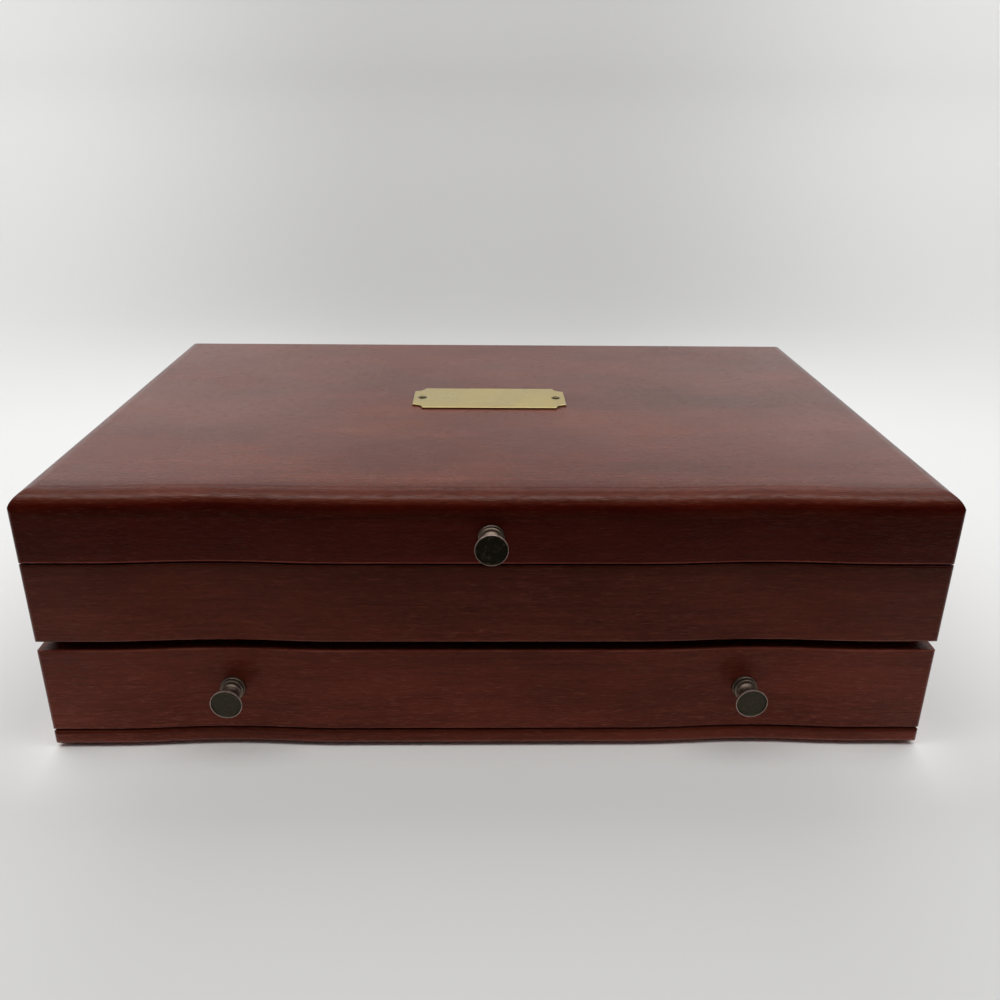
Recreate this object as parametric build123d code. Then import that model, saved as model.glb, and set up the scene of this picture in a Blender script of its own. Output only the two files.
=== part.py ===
from build123d import *

import math
import os

os.makedirs("parts", exist_ok=True)

# A two-level silverware chest: a hinged lid over four racked bays, and a drawer below.
# Millimetres. X runs along the front, Y from front to back and Z up.
# The origin is the middle of the underside, on the surface that the chest stands on.

# ---- Plan ----------------------------------------------------------------------------------------
CHEST_WIDTH = 438.0
CHEST_DEPTH = 292.0
WALL = 13.0
CORNER_RADIUS = 2.2

# The serpentine front has two shallow dips between a flat middle and flat ends.
END_FLAT = 29.0
DIP_LENGTH = 118.0
DIP_DEPTH = 2.3
DIP_KNOTS = (-1.0, -0.5, 0.5, 1.0)

# ---- Heights, from the floor up ------------------------------------------------------------------
FELT_THICKNESS = 1.0
BASE_THICKNESS = 9.4
DRAWER_FOOT_GAP = 0.5
DRAWER_FRONT_HEIGHT = 45.8
DRAWER_HEAD_GAP = 4.4
UPPER_CASE_HEIGHT = 41.9
SEAM_GAP = 0.6
LID_RAIL_HEIGHT = 23.0
LID_BOARD_THICKNESS = 12.0

# ---- Rounded edges -------------------------------------------------------------------------------
LID_TOP_ROUND = 10.5
SEAM_ROUND = 1.0
UPPER_CASE_FOOT_ROUND = 1.7
DRAWER_FRONT_ROUND = 1.0
BASE_TOP_ROUND = 2.6
BASE_FOOT_ROUND = 3.5

# ---- Base ----------------------------------------------------------------------------------------
FELT_INSET = 11.0
BASE_SCREW_SPACING = 95.0
BASE_SCREW_LENGTH = 28.0
BASE_SCREW_DIAMETER = 3.5
BASE_SCREW_HEAD_DIAMETER = 7.0

# ---- Drawer --------------------------------------------------------------------------------------
DRAWER_TRAVEL = 200.0
DRAWER_FRONT_THICKNESS = 18.0
DRAWER_FRONT_GAP = 0.3
DRAWER_WALL = 9.0
DRAWER_SIDE_CLEARANCE = 0.8
DRAWER_BACK_CLEARANCE = 5.0
DRAWER_SIDE_DROP = 2.7
DRAWER_BOTTOM_THICKNESS = 3.0
DRAWER_BOTTOM_RISE = 3.4
DRAWER_DIVIDER_DROP = 8.0
DRAWER_TONGUE = 6.0
DRAWER_BAYS = 3
RUNNER_WIDTH = 11.0
RUNNER_THICKNESS = 2.0
RUNNING_CLEARANCE = 0.2
STOP_WIDTH = 40.0
STOP_LENGTH = 14.0
STOP_CATCH = 4.5

# ---- Upper compartment ---------------------------------------------------------------------------
GROOVE_DEPTH = 4.0
PANEL_END_CLEARANCE = 0.2
FLOOR_THICKNESS = 4.0
FLOOR_RISE = 2.0
DIVIDER_THICKNESS = 6.0
DIVIDER_DROP = 7.0
BAYS = 4
RACK_FOOT_WIDTH = 26.0
RACK_TOP_WIDTH = 18.0
RACK_DROP = 9.0
RACK_ROUND = 4.0
RACK_Y = 12.0
RACK_SLOTS = 12
RACK_SLOT_WIDTH = 3.2
RACK_SLOT_DEPTH = 17.0
FIT_CLEARANCE = 0.2

# ---- Lining --------------------------------------------------------------------------------------
LINING = 1.0
LINING_REVEAL = 2.0

# ---- Knife rack in the lid -----------------------------------------------------------------------
KNIVES = 12
KNIFE_BAR_WIDTH = 16.0
KNIFE_BAR_HEIGHT = 14.0
KNIFE_BAR_ROUND = 3.0
BLADE_BAR_SETBACK = 54.0
HANDLE_BAR_SETBACK = 88.0
BLADE_SLOT_WIDTH = 24.0
BLADE_SLOT_HEIGHT = 3.2
HANDLE_NOTCH_WIDTH = 17.0
HANDLE_NOTCH_DEPTH = 9.0
HANDLE_NOTCH_ROUND = 4.0
PAD_THICKNESS = 3.2
PAD_EDGE_THICKNESS = 1.2
PAD_MARGIN = 3.0
PAD_SHOULDER = 22.0

# ---- Hinges --------------------------------------------------------------------------------------
LID_OPENING = 95.0
BEVEL_PLAY = 0.3
HINGE_INSET = 79.0
HINGE_LENGTH = 38.0
HINGE_SETBACK = 4.0
HINGE_LEAF_THICKNESS = 1.3
HINGE_LEAF_GAP = 0.3
HINGE_LEAF_MARGIN = 0.2
HINGE_BARREL_DIAMETER = 4.4
HINGE_PIN_DIAMETER = 2.0
HINGE_PIN_PLAY = 0.05
HINGE_RELIEF = 0.3
HINGE_LID_KNUCKLE = 12.4
KNUCKLE_GAP = 0.2
HINGE_SCREW_SPACING = 13.0
HINGE_SCREW_LENGTH = 10.0
HINGE_SCREW_DIAMETER = 2.0
HINGE_SCREW_HEAD_DIAMETER = 3.8

# ---- Knobs ---------------------------------------------------------------------------------------
DRAWER_KNOB_INSET = 92.0
DRAWER_KNOB_RISE = 23.5
LID_KNOB_RISE = 14.4
KNOB_SEAT_DEPTH = 0.3
KNOB_SEAT_CLEARANCE = 0.1
KNOB_BASE_DIAMETER = 12.3
KNOB_BASE_HEIGHT = 1.8
KNOB_BASE_ROUND = 0.5
KNOB_GROOVE_DIAMETER = 10.2
KNOB_GROOVE_HEIGHT = 0.6
KNOB_BEAD_DIAMETER = 11.8
KNOB_BEAD_HEIGHT = 1.8
KNOB_COLLAR_DIAMETER = 9.2
KNOB_COLLAR_HEIGHT = 0.5
KNOB_NECK_DIAMETER = 7.2
KNOB_WAIST_HEIGHT = 3.5
KNOB_NECK_HEIGHT = 9.0
KNOB_FLARE_STEP = 0.3
KNOB_DISC_DIAMETER = 15.3
KNOB_DISC_HEIGHT = 1.4
KNOB_RIM_WIDTH = 0.6
KNOB_DISH_SLOPE = 0.3
KNOB_DISH_DEPTH = 0.5
KNOB_SCREW_DIAMETER = 4.0
KNOB_SCREW_REACH = 7.0
KNOB_SCREW_HEAD_DIAMETER = 7.6
KNOB_SCREW_HEAD_HEIGHT = 2.4
KNOB_HOLE_DEPTH = 8.0
COUNTERBORE_CLEARANCE = 0.3

# ---- Name plate ----------------------------------------------------------------------------------
PLATE_LENGTH = 90.0
PLATE_WIDTH = 38.5
PLATE_THICKNESS = 1.0
PLATE_CORNER_SCOOP = 6.0
PLATE_BEVEL = 0.3
PLATE_Y = 2.0
PLATE_SCREW_INSET = 5.3
PLATE_SCREW_HEAD_DIAMETER = 4.4
PLATE_SCREW_HEAD_HEIGHT = 0.8
PLATE_SCREW_DIAMETER = 2.0
PLATE_SCREW_LENGTH = 8.0
PLATE_CROSS_LENGTH = 2.6
PLATE_CROSS_WIDTH = 0.6
PLATE_CROSS_DEPTH = 0.5

# ---- Fits that every screw shares ----------------------------------------------------------------
SCREW_CLEARANCE = 0.02
CUT_MARGIN = 5.0

# ---- Worked out from the sizes above -------------------------------------------------------------
HALF_WIDTH = CHEST_WIDTH / 2
FRONT_Y = -CHEST_DEPTH / 2
BACK_Y = CHEST_DEPTH / 2
INNER_HALF_WIDTH = HALF_WIDTH - WALL
INNER_FRONT_Y = FRONT_Y + WALL
INNER_BACK_Y = BACK_Y - WALL

DIP_HALF_LENGTH = DIP_LENGTH / 2
DIP_X = HALF_WIDTH - END_FLAT - DIP_HALF_LENGTH
DIP_RADIUS = (DIP_HALF_LENGTH**2 + DIP_DEPTH**2) / (4 * DIP_DEPTH)

BASE_TOP = FELT_THICKNESS + BASE_THICKNESS
DRAWER_FRONT_FOOT = BASE_TOP + DRAWER_FOOT_GAP
DRAWER_FRONT_TOP = DRAWER_FRONT_FOOT + DRAWER_FRONT_HEIGHT
UPPER_CASE_FOOT = DRAWER_FRONT_TOP + DRAWER_HEAD_GAP
CASE_TOP = UPPER_CASE_FOOT + UPPER_CASE_HEIGHT
LID_FOOT = CASE_TOP + SEAM_GAP
LID_BOARD_FOOT = LID_FOOT + LID_RAIL_HEIGHT
LID_TOP = LID_BOARD_FOOT + LID_BOARD_THICKNESS

DRAWER_FRONT_BACK_Y = FRONT_Y + DRAWER_FRONT_THICKNESS
SIDE_SETBACK_Y = DRAWER_FRONT_BACK_Y + DRAWER_FRONT_GAP
DRAWER_HALF_WIDTH = INNER_HALF_WIDTH - DRAWER_SIDE_CLEARANCE
DRAWER_INNER_HALF_WIDTH = DRAWER_HALF_WIDTH - DRAWER_WALL
DRAWER_BACK_Y = INNER_BACK_Y - DRAWER_BACK_CLEARANCE
DRAWER_INNER_BACK_Y = DRAWER_BACK_Y - DRAWER_WALL
RUNNER_TOP = BASE_TOP + RUNNER_THICKNESS
DRAWER_SIDE_FOOT = RUNNER_TOP + RUNNING_CLEARANCE
DRAWER_SIDE_TOP = DRAWER_FRONT_TOP - DRAWER_SIDE_DROP
DRAWER_BOTTOM_FOOT = DRAWER_SIDE_FOOT + DRAWER_BOTTOM_RISE
DRAWER_BOTTOM_TOP = DRAWER_BOTTOM_FOOT + DRAWER_BOTTOM_THICKNESS
DRAWER_LINING_TOP = DRAWER_BOTTOM_TOP + LINING

FLOOR_FOOT = UPPER_CASE_FOOT + FLOOR_RISE
FLOOR_TOP = FLOOR_FOOT + FLOOR_THICKNESS
FLOOR_LINING_TOP = FLOOR_TOP + LINING
LINED_HALF_WIDTH = INNER_HALF_WIDTH - LINING
LINED_FRONT_Y = INNER_FRONT_Y + LINING
LINED_BACK_Y = INNER_BACK_Y - LINING
BAY_WIDTH = (2 * LINED_HALF_WIDTH - (BAYS - 1) * DIVIDER_THICKNESS) / BAYS
RACK_TOP = CASE_TOP - RACK_DROP
RACK_LENGTH = BAY_WIDTH - 2 * FIT_CLEARANCE

LID_LINING_FOOT = LID_BOARD_FOOT - LINING
BLADE_BAR_Y = FRONT_Y + BLADE_BAR_SETBACK
HANDLE_BAR_Y = BACK_Y - HANDLE_BAR_SETBACK
KNIFE_BAR_FOOT = LID_LINING_FOOT - KNIFE_BAR_HEIGHT
KNIFE_BAR_LENGTH = 2 * (LINED_HALF_WIDTH - FIT_CLEARANCE)
KNIFE_PITCH = KNIFE_BAR_LENGTH / KNIVES

HINGE_X = HALF_WIDTH - HINGE_INSET
HINGE_Y = BACK_Y - HINGE_SETBACK
HINGE_Z = CASE_TOP + SEAM_GAP / 2
HINGE_BARREL_RADIUS = HINGE_BARREL_DIAMETER / 2
HINGE_PLATE_FRONT_Y = INNER_BACK_Y + HINGE_LEAF_MARGIN
HINGE_PLATE_BACK_Y = HINGE_Y - HINGE_BARREL_RADIUS - HINGE_LEAF_MARGIN
HINGE_SCREW_Y = (HINGE_PLATE_FRONT_Y + HINGE_PLATE_BACK_Y) / 2
BEVEL_ANGLE = math.radians(LID_OPENING + BEVEL_PLAY) / 2
HINGE_CENTRES = (-HINGE_X, HINGE_X)

DRAWER_KNOB_X = HALF_WIDTH - DRAWER_KNOB_INSET
DRAWER_KNOB_Z = DRAWER_FRONT_FOOT + DRAWER_KNOB_RISE
LID_KNOB_Z = LID_FOOT + LID_KNOB_RISE
PLATE_SCREW_X = PLATE_LENGTH / 2 - PLATE_SCREW_INSET


# ---- Shapes that several pieces share ------------------------------------------------------------
def block(x_span, y_span, z_span):
    """A square-edged block between two corners, each span being (low, high)."""
    spans = (x_span, y_span, z_span)
    size = [high - low for low, high in spans]
    middle = [(high + low) / 2 for low, high in spans]
    return Pos(*middle) * Box(*size)


def prism_along_x(outline, x_span):
    """A straight prism along X over a closed (y, z) outline of corner points."""
    corners = [(x_span[0], y, z) for y, z in outline]
    return extrude(make_face(Polyline(*corners, close=True)), x_span[1] - x_span[0], dir=(1, 0, 0))


def rod_along_x(x_span, y, z, radius):
    """A round rod along X."""
    return Pos(sum(x_span) / 2, y, z) * Rot(0, 90, 0) * Cylinder(radius, x_span[1] - x_span[0])


def rod_along_y(x, y_span, z, radius):
    """A round rod along Y."""
    return Pos(x, sum(y_span) / 2, z) * Rot(90, 0, 0) * Cylinder(radius, y_span[1] - y_span[0])


def rod_along_z(x, y, z_span, radius):
    """A round rod along Z."""
    return Pos(x, y, sum(z_span) / 2) * Cylinder(radius, z_span[1] - z_span[0])


def front_setback(x):
    """How far the serpentine front lies behind its flat plane at x."""
    from_dip = abs(abs(x) - DIP_X)
    if from_dip >= DIP_HALF_LENGTH:
        return 0.0
    if from_dip <= DIP_HALF_LENGTH / 2:
        return DIP_DEPTH - DIP_RADIUS + math.sqrt(DIP_RADIUS**2 - from_dip**2)
    from_flat = DIP_HALF_LENGTH - from_dip
    return DIP_RADIUS - math.sqrt(DIP_RADIUS**2 - from_flat**2)


def front_point(x):
    """The point of the serpentine front at x."""
    return (x, FRONT_Y + front_setback(x))


def front_arc(x_from, x_to):
    """One arc of the serpentine front."""
    return ThreePointArc(front_point(x_from), front_point((x_from + x_to) / 2), front_point(x_to))


def plan_face(corner_radius):
    """The chest seen from above: straight back and sides, two dips in the front."""
    front = [Line((-HALF_WIDTH, FRONT_Y), front_point(-DIP_X - DIP_HALF_LENGTH))]
    for centre in (-DIP_X, DIP_X):
        knots = [centre + knot * DIP_HALF_LENGTH for knot in DIP_KNOTS]
        front += [front_arc(a, b) for a, b in zip(knots, knots[1:])]
        if centre < 0:
            front.append(Line(front_point(knots[-1]), front_point(-knots[-1])))
    front.append(Line(front_point(DIP_X + DIP_HALF_LENGTH), (HALF_WIDTH, FRONT_Y)))
    back_corners = [(HALF_WIDTH, BACK_Y), (-HALF_WIDTH, BACK_Y)]
    rest = Polyline((HALF_WIDTH, FRONT_Y), *back_corners, (-HALF_WIDTH, FRONT_Y))
    face = make_face([*front, rest])
    if not corner_radius:
        return face
    corners = face.vertices().filter_by(lambda v: math.isclose(abs(v.X), HALF_WIDTH, abs_tol=1e-6))
    return fillet(corners, corner_radius)


def rounded_block(z_span, foot_round, top_round):
    """The chest's plan between two heights, with its long edges rounded and mitred at the corners."""
    low, high = z_span
    body = Pos(0, 0, low) * extrude(plan_face(0), high - low)
    if top_round:
        body = fillet(body.edges().group_by(Axis.Z)[-1], top_round)
    if foot_round:
        body = fillet(body.edges().group_by(Axis.Z)[0], foot_round)
    return body & (Pos(0, 0, low) * extrude(plan_face(CORNER_RADIUS), high - low))


def mitre_wedge(side, z_span):
    """The ground that one wall of a mitred frame covers: side is front, back, left or right."""
    out = CUT_MARGIN
    into = 2 * WALL
    outer_x, outer_y = HALF_WIDTH + out, BACK_Y + out
    inner_x, inner_y = HALF_WIDTH - into, BACK_Y - into
    corners = {
        "front": [(-outer_x, -outer_y), (outer_x, -outer_y), (inner_x, -inner_y), (-inner_x, -inner_y)],
        "back": [(-inner_x, inner_y), (inner_x, inner_y), (outer_x, outer_y), (-outer_x, outer_y)],
        "left": [(-outer_x, -outer_y), (-inner_x, -inner_y), (-inner_x, inner_y), (-outer_x, outer_y)],
        "right": [(outer_x, -outer_y), (outer_x, outer_y), (inner_x, inner_y), (inner_x, -inner_y)],
    }[side]
    ground = make_face(Polyline(*corners, close=True))
    return Pos(0, 0, z_span[0]) * extrude(ground, z_span[1] - z_span[0])


def mitred_walls(frame, z_span):
    """Cuts a frame into its four mitred walls."""
    sides = ("front", "back", "left", "right")
    return {side: frame & mitre_wedge(side, z_span) for side in sides}


def countersunk_screw(head_diameter, diameter, length):
    """A countersunk screw that points down, with its flat head at the origin."""
    head_height = (head_diameter - diameter) / 2
    head = Pos(0, 0, -head_height / 2) * Cone(diameter / 2, head_diameter / 2, head_height)
    return head + rod_along_z(0, 0, (-length, -head_height / 2), diameter / 2)


def back_bevel():
    """The notch between the two bevelled back edges, which meet when the lid is fully open."""
    run = HINGE_SETBACK + CUT_MARGIN
    rise = run * math.tan(BEVEL_ANGLE)
    outline = [(HINGE_Y, HINGE_Z), (HINGE_Y + run, HINGE_Z - rise), (HINGE_Y + run, HINGE_Z + rise)]
    return prism_along_x(outline, (-HALF_WIDTH - CUT_MARGIN, HALF_WIDTH + CUT_MARGIN))


# ---- Hinges --------------------------------------------------------------------------------------
def hinge_screw_places(centre):
    """The X places of one leaf's screws."""
    return [centre + step * HINGE_SCREW_SPACING for step in (-1, 0, 1)]


def hinge_screw(x, side, clearance):
    """A leaf's screw, or with a clearance its room. side is 1 in the lid and -1 in the case."""
    face_z = HINGE_Z + side * HINGE_LEAF_GAP / 2
    head = HINGE_SCREW_HEAD_DIAMETER + 2 * clearance
    screw = countersunk_screw(head, HINGE_SCREW_DIAMETER + 2 * clearance, HINGE_SCREW_LENGTH)
    turn = 180 if side > 0 else 0
    return Pos(x, HINGE_SCREW_Y, face_z) * Rot(turn, 0, 0) * screw


def hinge_spans(centre, side):
    """The X spans of the knuckles that belong to one leaf."""
    half_lid = HINGE_LID_KNUCKLE / 2
    half_length = HINGE_LENGTH / 2
    if side > 0:
        return [(centre - half_lid, centre + half_lid)]
    inner = half_lid + KNUCKLE_GAP
    return [(centre - half_length, centre - inner), (centre + inner, centre + half_length)]


def hinge_leaf(centre, side):
    """One leaf with its knuckles. side is 1 for the lid's leaf and -1 for the case's."""
    near = HINGE_Z + side * HINGE_LEAF_GAP / 2
    far = near + side * HINGE_LEAF_THICKNESS
    z_span = (min(near, far), max(near, far))
    x_span = (centre - HINGE_LENGTH / 2, centre + HINGE_LENGTH / 2)
    leaf = block(x_span, (HINGE_PLATE_FRONT_Y, HINGE_PLATE_BACK_Y), z_span)
    for span in hinge_spans(centre, side):
        leaf += block(span, (HINGE_PLATE_BACK_Y, HINGE_Y), z_span)
        leaf += rod_along_x(span, HINGE_Y, HINGE_Z, HINGE_BARREL_RADIUS)
    play = HINGE_PIN_PLAY if side > 0 else 0.0
    leaf -= rod_along_x(x_span, HINGE_Y, HINGE_Z, HINGE_PIN_DIAMETER / 2 + play)
    for x in hinge_screw_places(centre):
        leaf -= hinge_screw(x, side, SCREW_CLEARANCE)
    return leaf


def hinge_mortises(side):
    """What is cut from a back rail for both of its leaves, their knuckles and their screws."""
    cuts = []
    floor = HINGE_Z + side * (HINGE_LEAF_GAP / 2 + HINGE_LEAF_THICKNESS)
    open_end = HINGE_Z - side * CUT_MARGIN
    z_span = (min(floor, open_end), max(floor, open_end))
    for centre in HINGE_CENTRES:
        reach = HINGE_LENGTH / 2 + HINGE_LEAF_MARGIN
        x_span = (centre - reach, centre + reach)
        cuts.append(block(x_span, (INNER_BACK_Y - LINING, HINGE_Y), z_span))
        cuts.append(rod_along_x(x_span, HINGE_Y, HINGE_Z, HINGE_BARREL_RADIUS + HINGE_RELIEF))
        cuts += [hinge_screw(x, side, SCREW_CLEARANCE) for x in hinge_screw_places(centre)]
    return cuts


def make_hinges():
    """Two butt hinges with three knuckles each, let into the edges of the back rails."""
    pieces = {}
    for name, centre in (("left", -HINGE_X), ("right", HINGE_X)):
        pieces[f"{name}_hinge_case_leaf"] = hinge_leaf(centre, -1)
        pieces[f"{name}_hinge_lid_leaf"] = hinge_leaf(centre, 1)
        x_span = (centre - HINGE_LENGTH / 2, centre + HINGE_LENGTH / 2)
        pieces[f"{name}_hinge_pin"] = rod_along_x(x_span, HINGE_Y, HINGE_Z, HINGE_PIN_DIAMETER / 2)
    places = [x for centre in HINGE_CENTRES for x in hinge_screw_places(centre)]
    pieces["hinge_case_screws"] = Compound([hinge_screw(x, -1, 0) for x in places])
    pieces["hinge_lid_screws"] = Compound([hinge_screw(x, 1, 0) for x in places])
    return pieces


# ---- Knobs ---------------------------------------------------------------------------------------
def knob_seat_y(x):
    """The flat seat that a knob stands on, spot-faced into the serpentine front."""
    return FRONT_Y + front_setback(x) + KNOB_SEAT_DEPTH


def knob_profile():
    """Half section of the knob: radius along X, height along -Y, standing on Y = 0."""
    base = KNOB_BASE_DIAMETER / 2
    groove = KNOB_GROOVE_DIAMETER / 2
    bead = KNOB_BEAD_DIAMETER / 2
    collar = KNOB_COLLAR_DIAMETER / 2
    disc = KNOB_DISC_DIAMETER / 2
    hole = KNOB_SCREW_DIAMETER / 2 + SCREW_CLEARANCE
    groove_foot = KNOB_BASE_HEIGHT
    bead_foot = groove_foot + KNOB_GROOVE_HEIGHT
    bead_top = bead_foot + KNOB_BEAD_HEIGHT
    neck_foot = bead_top + KNOB_COLLAR_HEIGHT
    waist = neck_foot + KNOB_WAIST_HEIGHT
    disc_foot = neck_foot + KNOB_NECK_HEIGHT
    top = disc_foot + KNOB_DISC_HEIGHT
    rim = disc - KNOB_RIM_WIDTH
    dish = rim - KNOB_DISH_SLOPE
    base_shoulder = KNOB_BASE_HEIGHT - KNOB_BASE_ROUND
    edges = [
        Polyline((hole, 0), (base, 0), (base, -base_shoulder)),
        RadiusArc((base, -base_shoulder), (base - KNOB_BASE_ROUND, -groove_foot), KNOB_BASE_ROUND),
        Polyline((base - KNOB_BASE_ROUND, -groove_foot), (groove, -groove_foot), (groove, -bead_foot)),
        ThreePointArc((groove, -bead_foot), (bead, -(bead_foot + bead_top) / 2), (groove, -bead_top)),
        Polyline((groove, -bead_top), (collar, -bead_top), (collar, -neck_foot)),
        ThreePointArc(
            (collar, -neck_foot), (KNOB_NECK_DIAMETER / 2, -waist), (disc - KNOB_FLARE_STEP, -disc_foot)
        ),
        Polyline(
            (disc - KNOB_FLARE_STEP, -disc_foot),
            (disc, -disc_foot - KNOB_FLARE_STEP),
            (disc, -top),
            (rim, -top),
            (dish, -top + KNOB_DISH_DEPTH),
            (0, -top + KNOB_DISH_DEPTH),
            (0, -KNOB_HOLE_DEPTH),
            (hole, -KNOB_HOLE_DEPTH),
            (hole, 0),
        ),
    ]
    return make_face(edges)


def knob(x, z):
    """A turned knob: ringed base, cove neck and a thin dished disc, standing on the front at x, z."""
    return Pos(x, knob_seat_y(x), z) * revolve(knob_profile(), Axis.Y)


def knob_screw(x, z, inner_y, clearance):
    """The machine screw that draws a knob on, or with a clearance the room that it needs."""
    radius = KNOB_SCREW_DIAMETER / 2 + clearance
    head_y = inner_y - KNOB_SCREW_HEAD_HEIGHT
    shank = rod_along_y(x, (knob_seat_y(x) - KNOB_SCREW_REACH, head_y), z, radius)
    return shank + rod_along_y(x, (head_y, inner_y), z, KNOB_SCREW_HEAD_DIAMETER / 2)


def knob_cuts(x, z, inner_y):
    """What is cut from a front for one knob: its seat, its screw hole and the screw's counterbore."""
    face_y = FRONT_Y - CUT_MARGIN
    seat = rod_along_y(x, (face_y, knob_seat_y(x)), z, KNOB_BASE_DIAMETER / 2 + KNOB_SEAT_CLEARANCE)
    hole = rod_along_y(x, (face_y, inner_y), z, KNOB_SCREW_DIAMETER / 2 + SCREW_CLEARANCE)
    bore_radius = KNOB_SCREW_HEAD_DIAMETER / 2 + COUNTERBORE_CLEARANCE
    bore = rod_along_y(x, (inner_y - KNOB_SCREW_HEAD_HEIGHT, inner_y + LINING), z, bore_radius)
    return [seat, hole, bore]


def make_knobs():
    """Three like knobs, one on the lid and two on the drawer, with their screws."""
    drawer_places = [(-DRAWER_KNOB_X, DRAWER_KNOB_Z), (DRAWER_KNOB_X, DRAWER_KNOB_Z)]
    screws = [knob_screw(x, z, DRAWER_FRONT_BACK_Y, 0) for x, z in drawer_places]
    return {
        "lid_knob": knob(0, LID_KNOB_Z),
        "lid_knob_screw": knob_screw(0, LID_KNOB_Z, INNER_FRONT_Y, 0),
        "drawer_knob_left": knob(*drawer_places[0]),
        "drawer_knob_right": knob(*drawer_places[1]),
        "drawer_knob_screws": Compound(screws),
    }


# ---- Base and case -------------------------------------------------------------------------------
def base_screw_places():
    """Where the base is screwed up into the walls."""
    side_x = HALF_WIDTH - WALL / 2
    back_y = BACK_Y - WALL / 2
    along_sides = [(x, y * BASE_SCREW_SPACING) for x in (-side_x, side_x) for y in (-1, 0, 1)]
    return along_sides + [(-BASE_SCREW_SPACING, back_y), (BASE_SCREW_SPACING, back_y)]


def base_screw(x, y, clearance):
    """A screw up through the base, or with a clearance the room that it needs."""
    head = BASE_SCREW_HEAD_DIAMETER + 2 * clearance
    screw = countersunk_screw(head, BASE_SCREW_DIAMETER + 2 * clearance, BASE_SCREW_LENGTH)
    return Pos(x, y, FELT_THICKNESS) * Rot(180, 0, 0) * screw


def make_base():
    """The bullnose base board, the felt under it and the screws that hold it."""
    places = base_screw_places()
    board = rounded_block((FELT_THICKNESS, BASE_TOP), BASE_FOOT_ROUND, BASE_TOP_ROUND)
    for x, y in places:
        board -= base_screw(x, y, SCREW_CLEARANCE)
    inset = BASE_FOOT_ROUND + FELT_INSET
    felt = block(
        (-HALF_WIDTH + inset, HALF_WIDTH - inset),
        (FRONT_Y + DIP_DEPTH + inset, BACK_Y - inset),
        (0, FELT_THICKNESS),
    )
    return {
        "base_board": board,
        "base_felt": felt,
        "base_screws": Compound([base_screw(x, y, 0) for x, y in places]),
    }


def make_case():
    """The four mitred walls, with the sides cut back below for the drawer front."""
    inside_x = (-INNER_HALF_WIDTH, INNER_HALF_WIDTH)
    inside_y = (INNER_FRONT_Y, INNER_BACK_Y)
    z_span = (BASE_TOP, CASE_TOP)
    frame = rounded_block((UPPER_CASE_FOOT, CASE_TOP), UPPER_CASE_FOOT_ROUND, SEAM_ROUND)
    lower_height = UPPER_CASE_FOOT + CUT_MARGIN - BASE_TOP
    lower = Pos(0, 0, BASE_TOP) * extrude(plan_face(CORNER_RADIUS), lower_height)
    full_x = (-HALF_WIDTH - CUT_MARGIN, HALF_WIDTH + CUT_MARGIN)
    lower -= block(full_x, (FRONT_Y - CUT_MARGIN, SIDE_SETBACK_Y), (0, CASE_TOP))
    frame += lower
    frame -= block(inside_x, inside_y, (0, CASE_TOP + CUT_MARGIN))
    frame -= block(
        (-INNER_HALF_WIDTH - GROOVE_DEPTH, INNER_HALF_WIDTH + GROOVE_DEPTH),
        (INNER_FRONT_Y - GROOVE_DEPTH, INNER_BACK_Y + GROOVE_DEPTH),
        (FLOOR_FOOT, FLOOR_TOP),
    )
    frame -= back_bevel()
    for cut in hinge_mortises(-1):
        frame -= cut
    for x, y in base_screw_places():
        frame -= base_screw(x, y, SCREW_CLEARANCE)
    walls = mitred_walls(frame, z_span)
    return {
        "case_front_rail": walls["front"],
        "case_back": walls["back"],
        "case_side_left": walls["left"],
        "case_side_right": walls["right"],
    }


def make_runners():
    """The strips that the drawer slides on, and the block that stops it."""
    stop_back_y = DRAWER_INNER_BACK_Y - LINING - DRAWER_TRAVEL - DRAWER_FRONT_GAP
    pieces = {}
    for name, side in (("left", -1), ("right", 1)):
        outer, inner = side * INNER_HALF_WIDTH, side * (INNER_HALF_WIDTH - RUNNER_WIDTH)
        x_span = (min(outer, inner), max(outer, inner))
        y_span = (SIDE_SETBACK_Y, INNER_BACK_Y)
        pieces[f"drawer_runner_{name}"] = block(x_span, y_span, (BASE_TOP, RUNNER_TOP))
    pieces["drawer_stop_block"] = block(
        (-STOP_WIDTH / 2, STOP_WIDTH / 2),
        (stop_back_y - STOP_LENGTH, stop_back_y),
        (DRAWER_SIDE_TOP - STOP_CATCH, FLOOR_FOOT),
    )
    return pieces


# ---- Upper compartment ---------------------------------------------------------------------------
def wall_lining(x_half, y_span, z_span):
    """Four thin lining panels round the inside of a box."""
    low_y, high_y = y_span
    inner = (low_y + LINING, high_y - LINING)
    return [
        block((-x_half, x_half), (low_y, low_y + LINING), z_span),
        block((-x_half, x_half), (high_y - LINING, high_y), z_span),
        block((-x_half, -x_half + LINING), inner, z_span),
        block((x_half - LINING, x_half), inner, z_span),
    ]


def divider(x, y_span, z_span, thickness):
    """A flannel-covered divider with a round top edge."""
    low, high = z_span
    body = block((x - thickness / 2, x + thickness / 2), y_span, (low, high - thickness / 2))
    cap = rod_along_y(x, y_span, high - thickness / 2, thickness / 2)
    return body + cap


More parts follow.
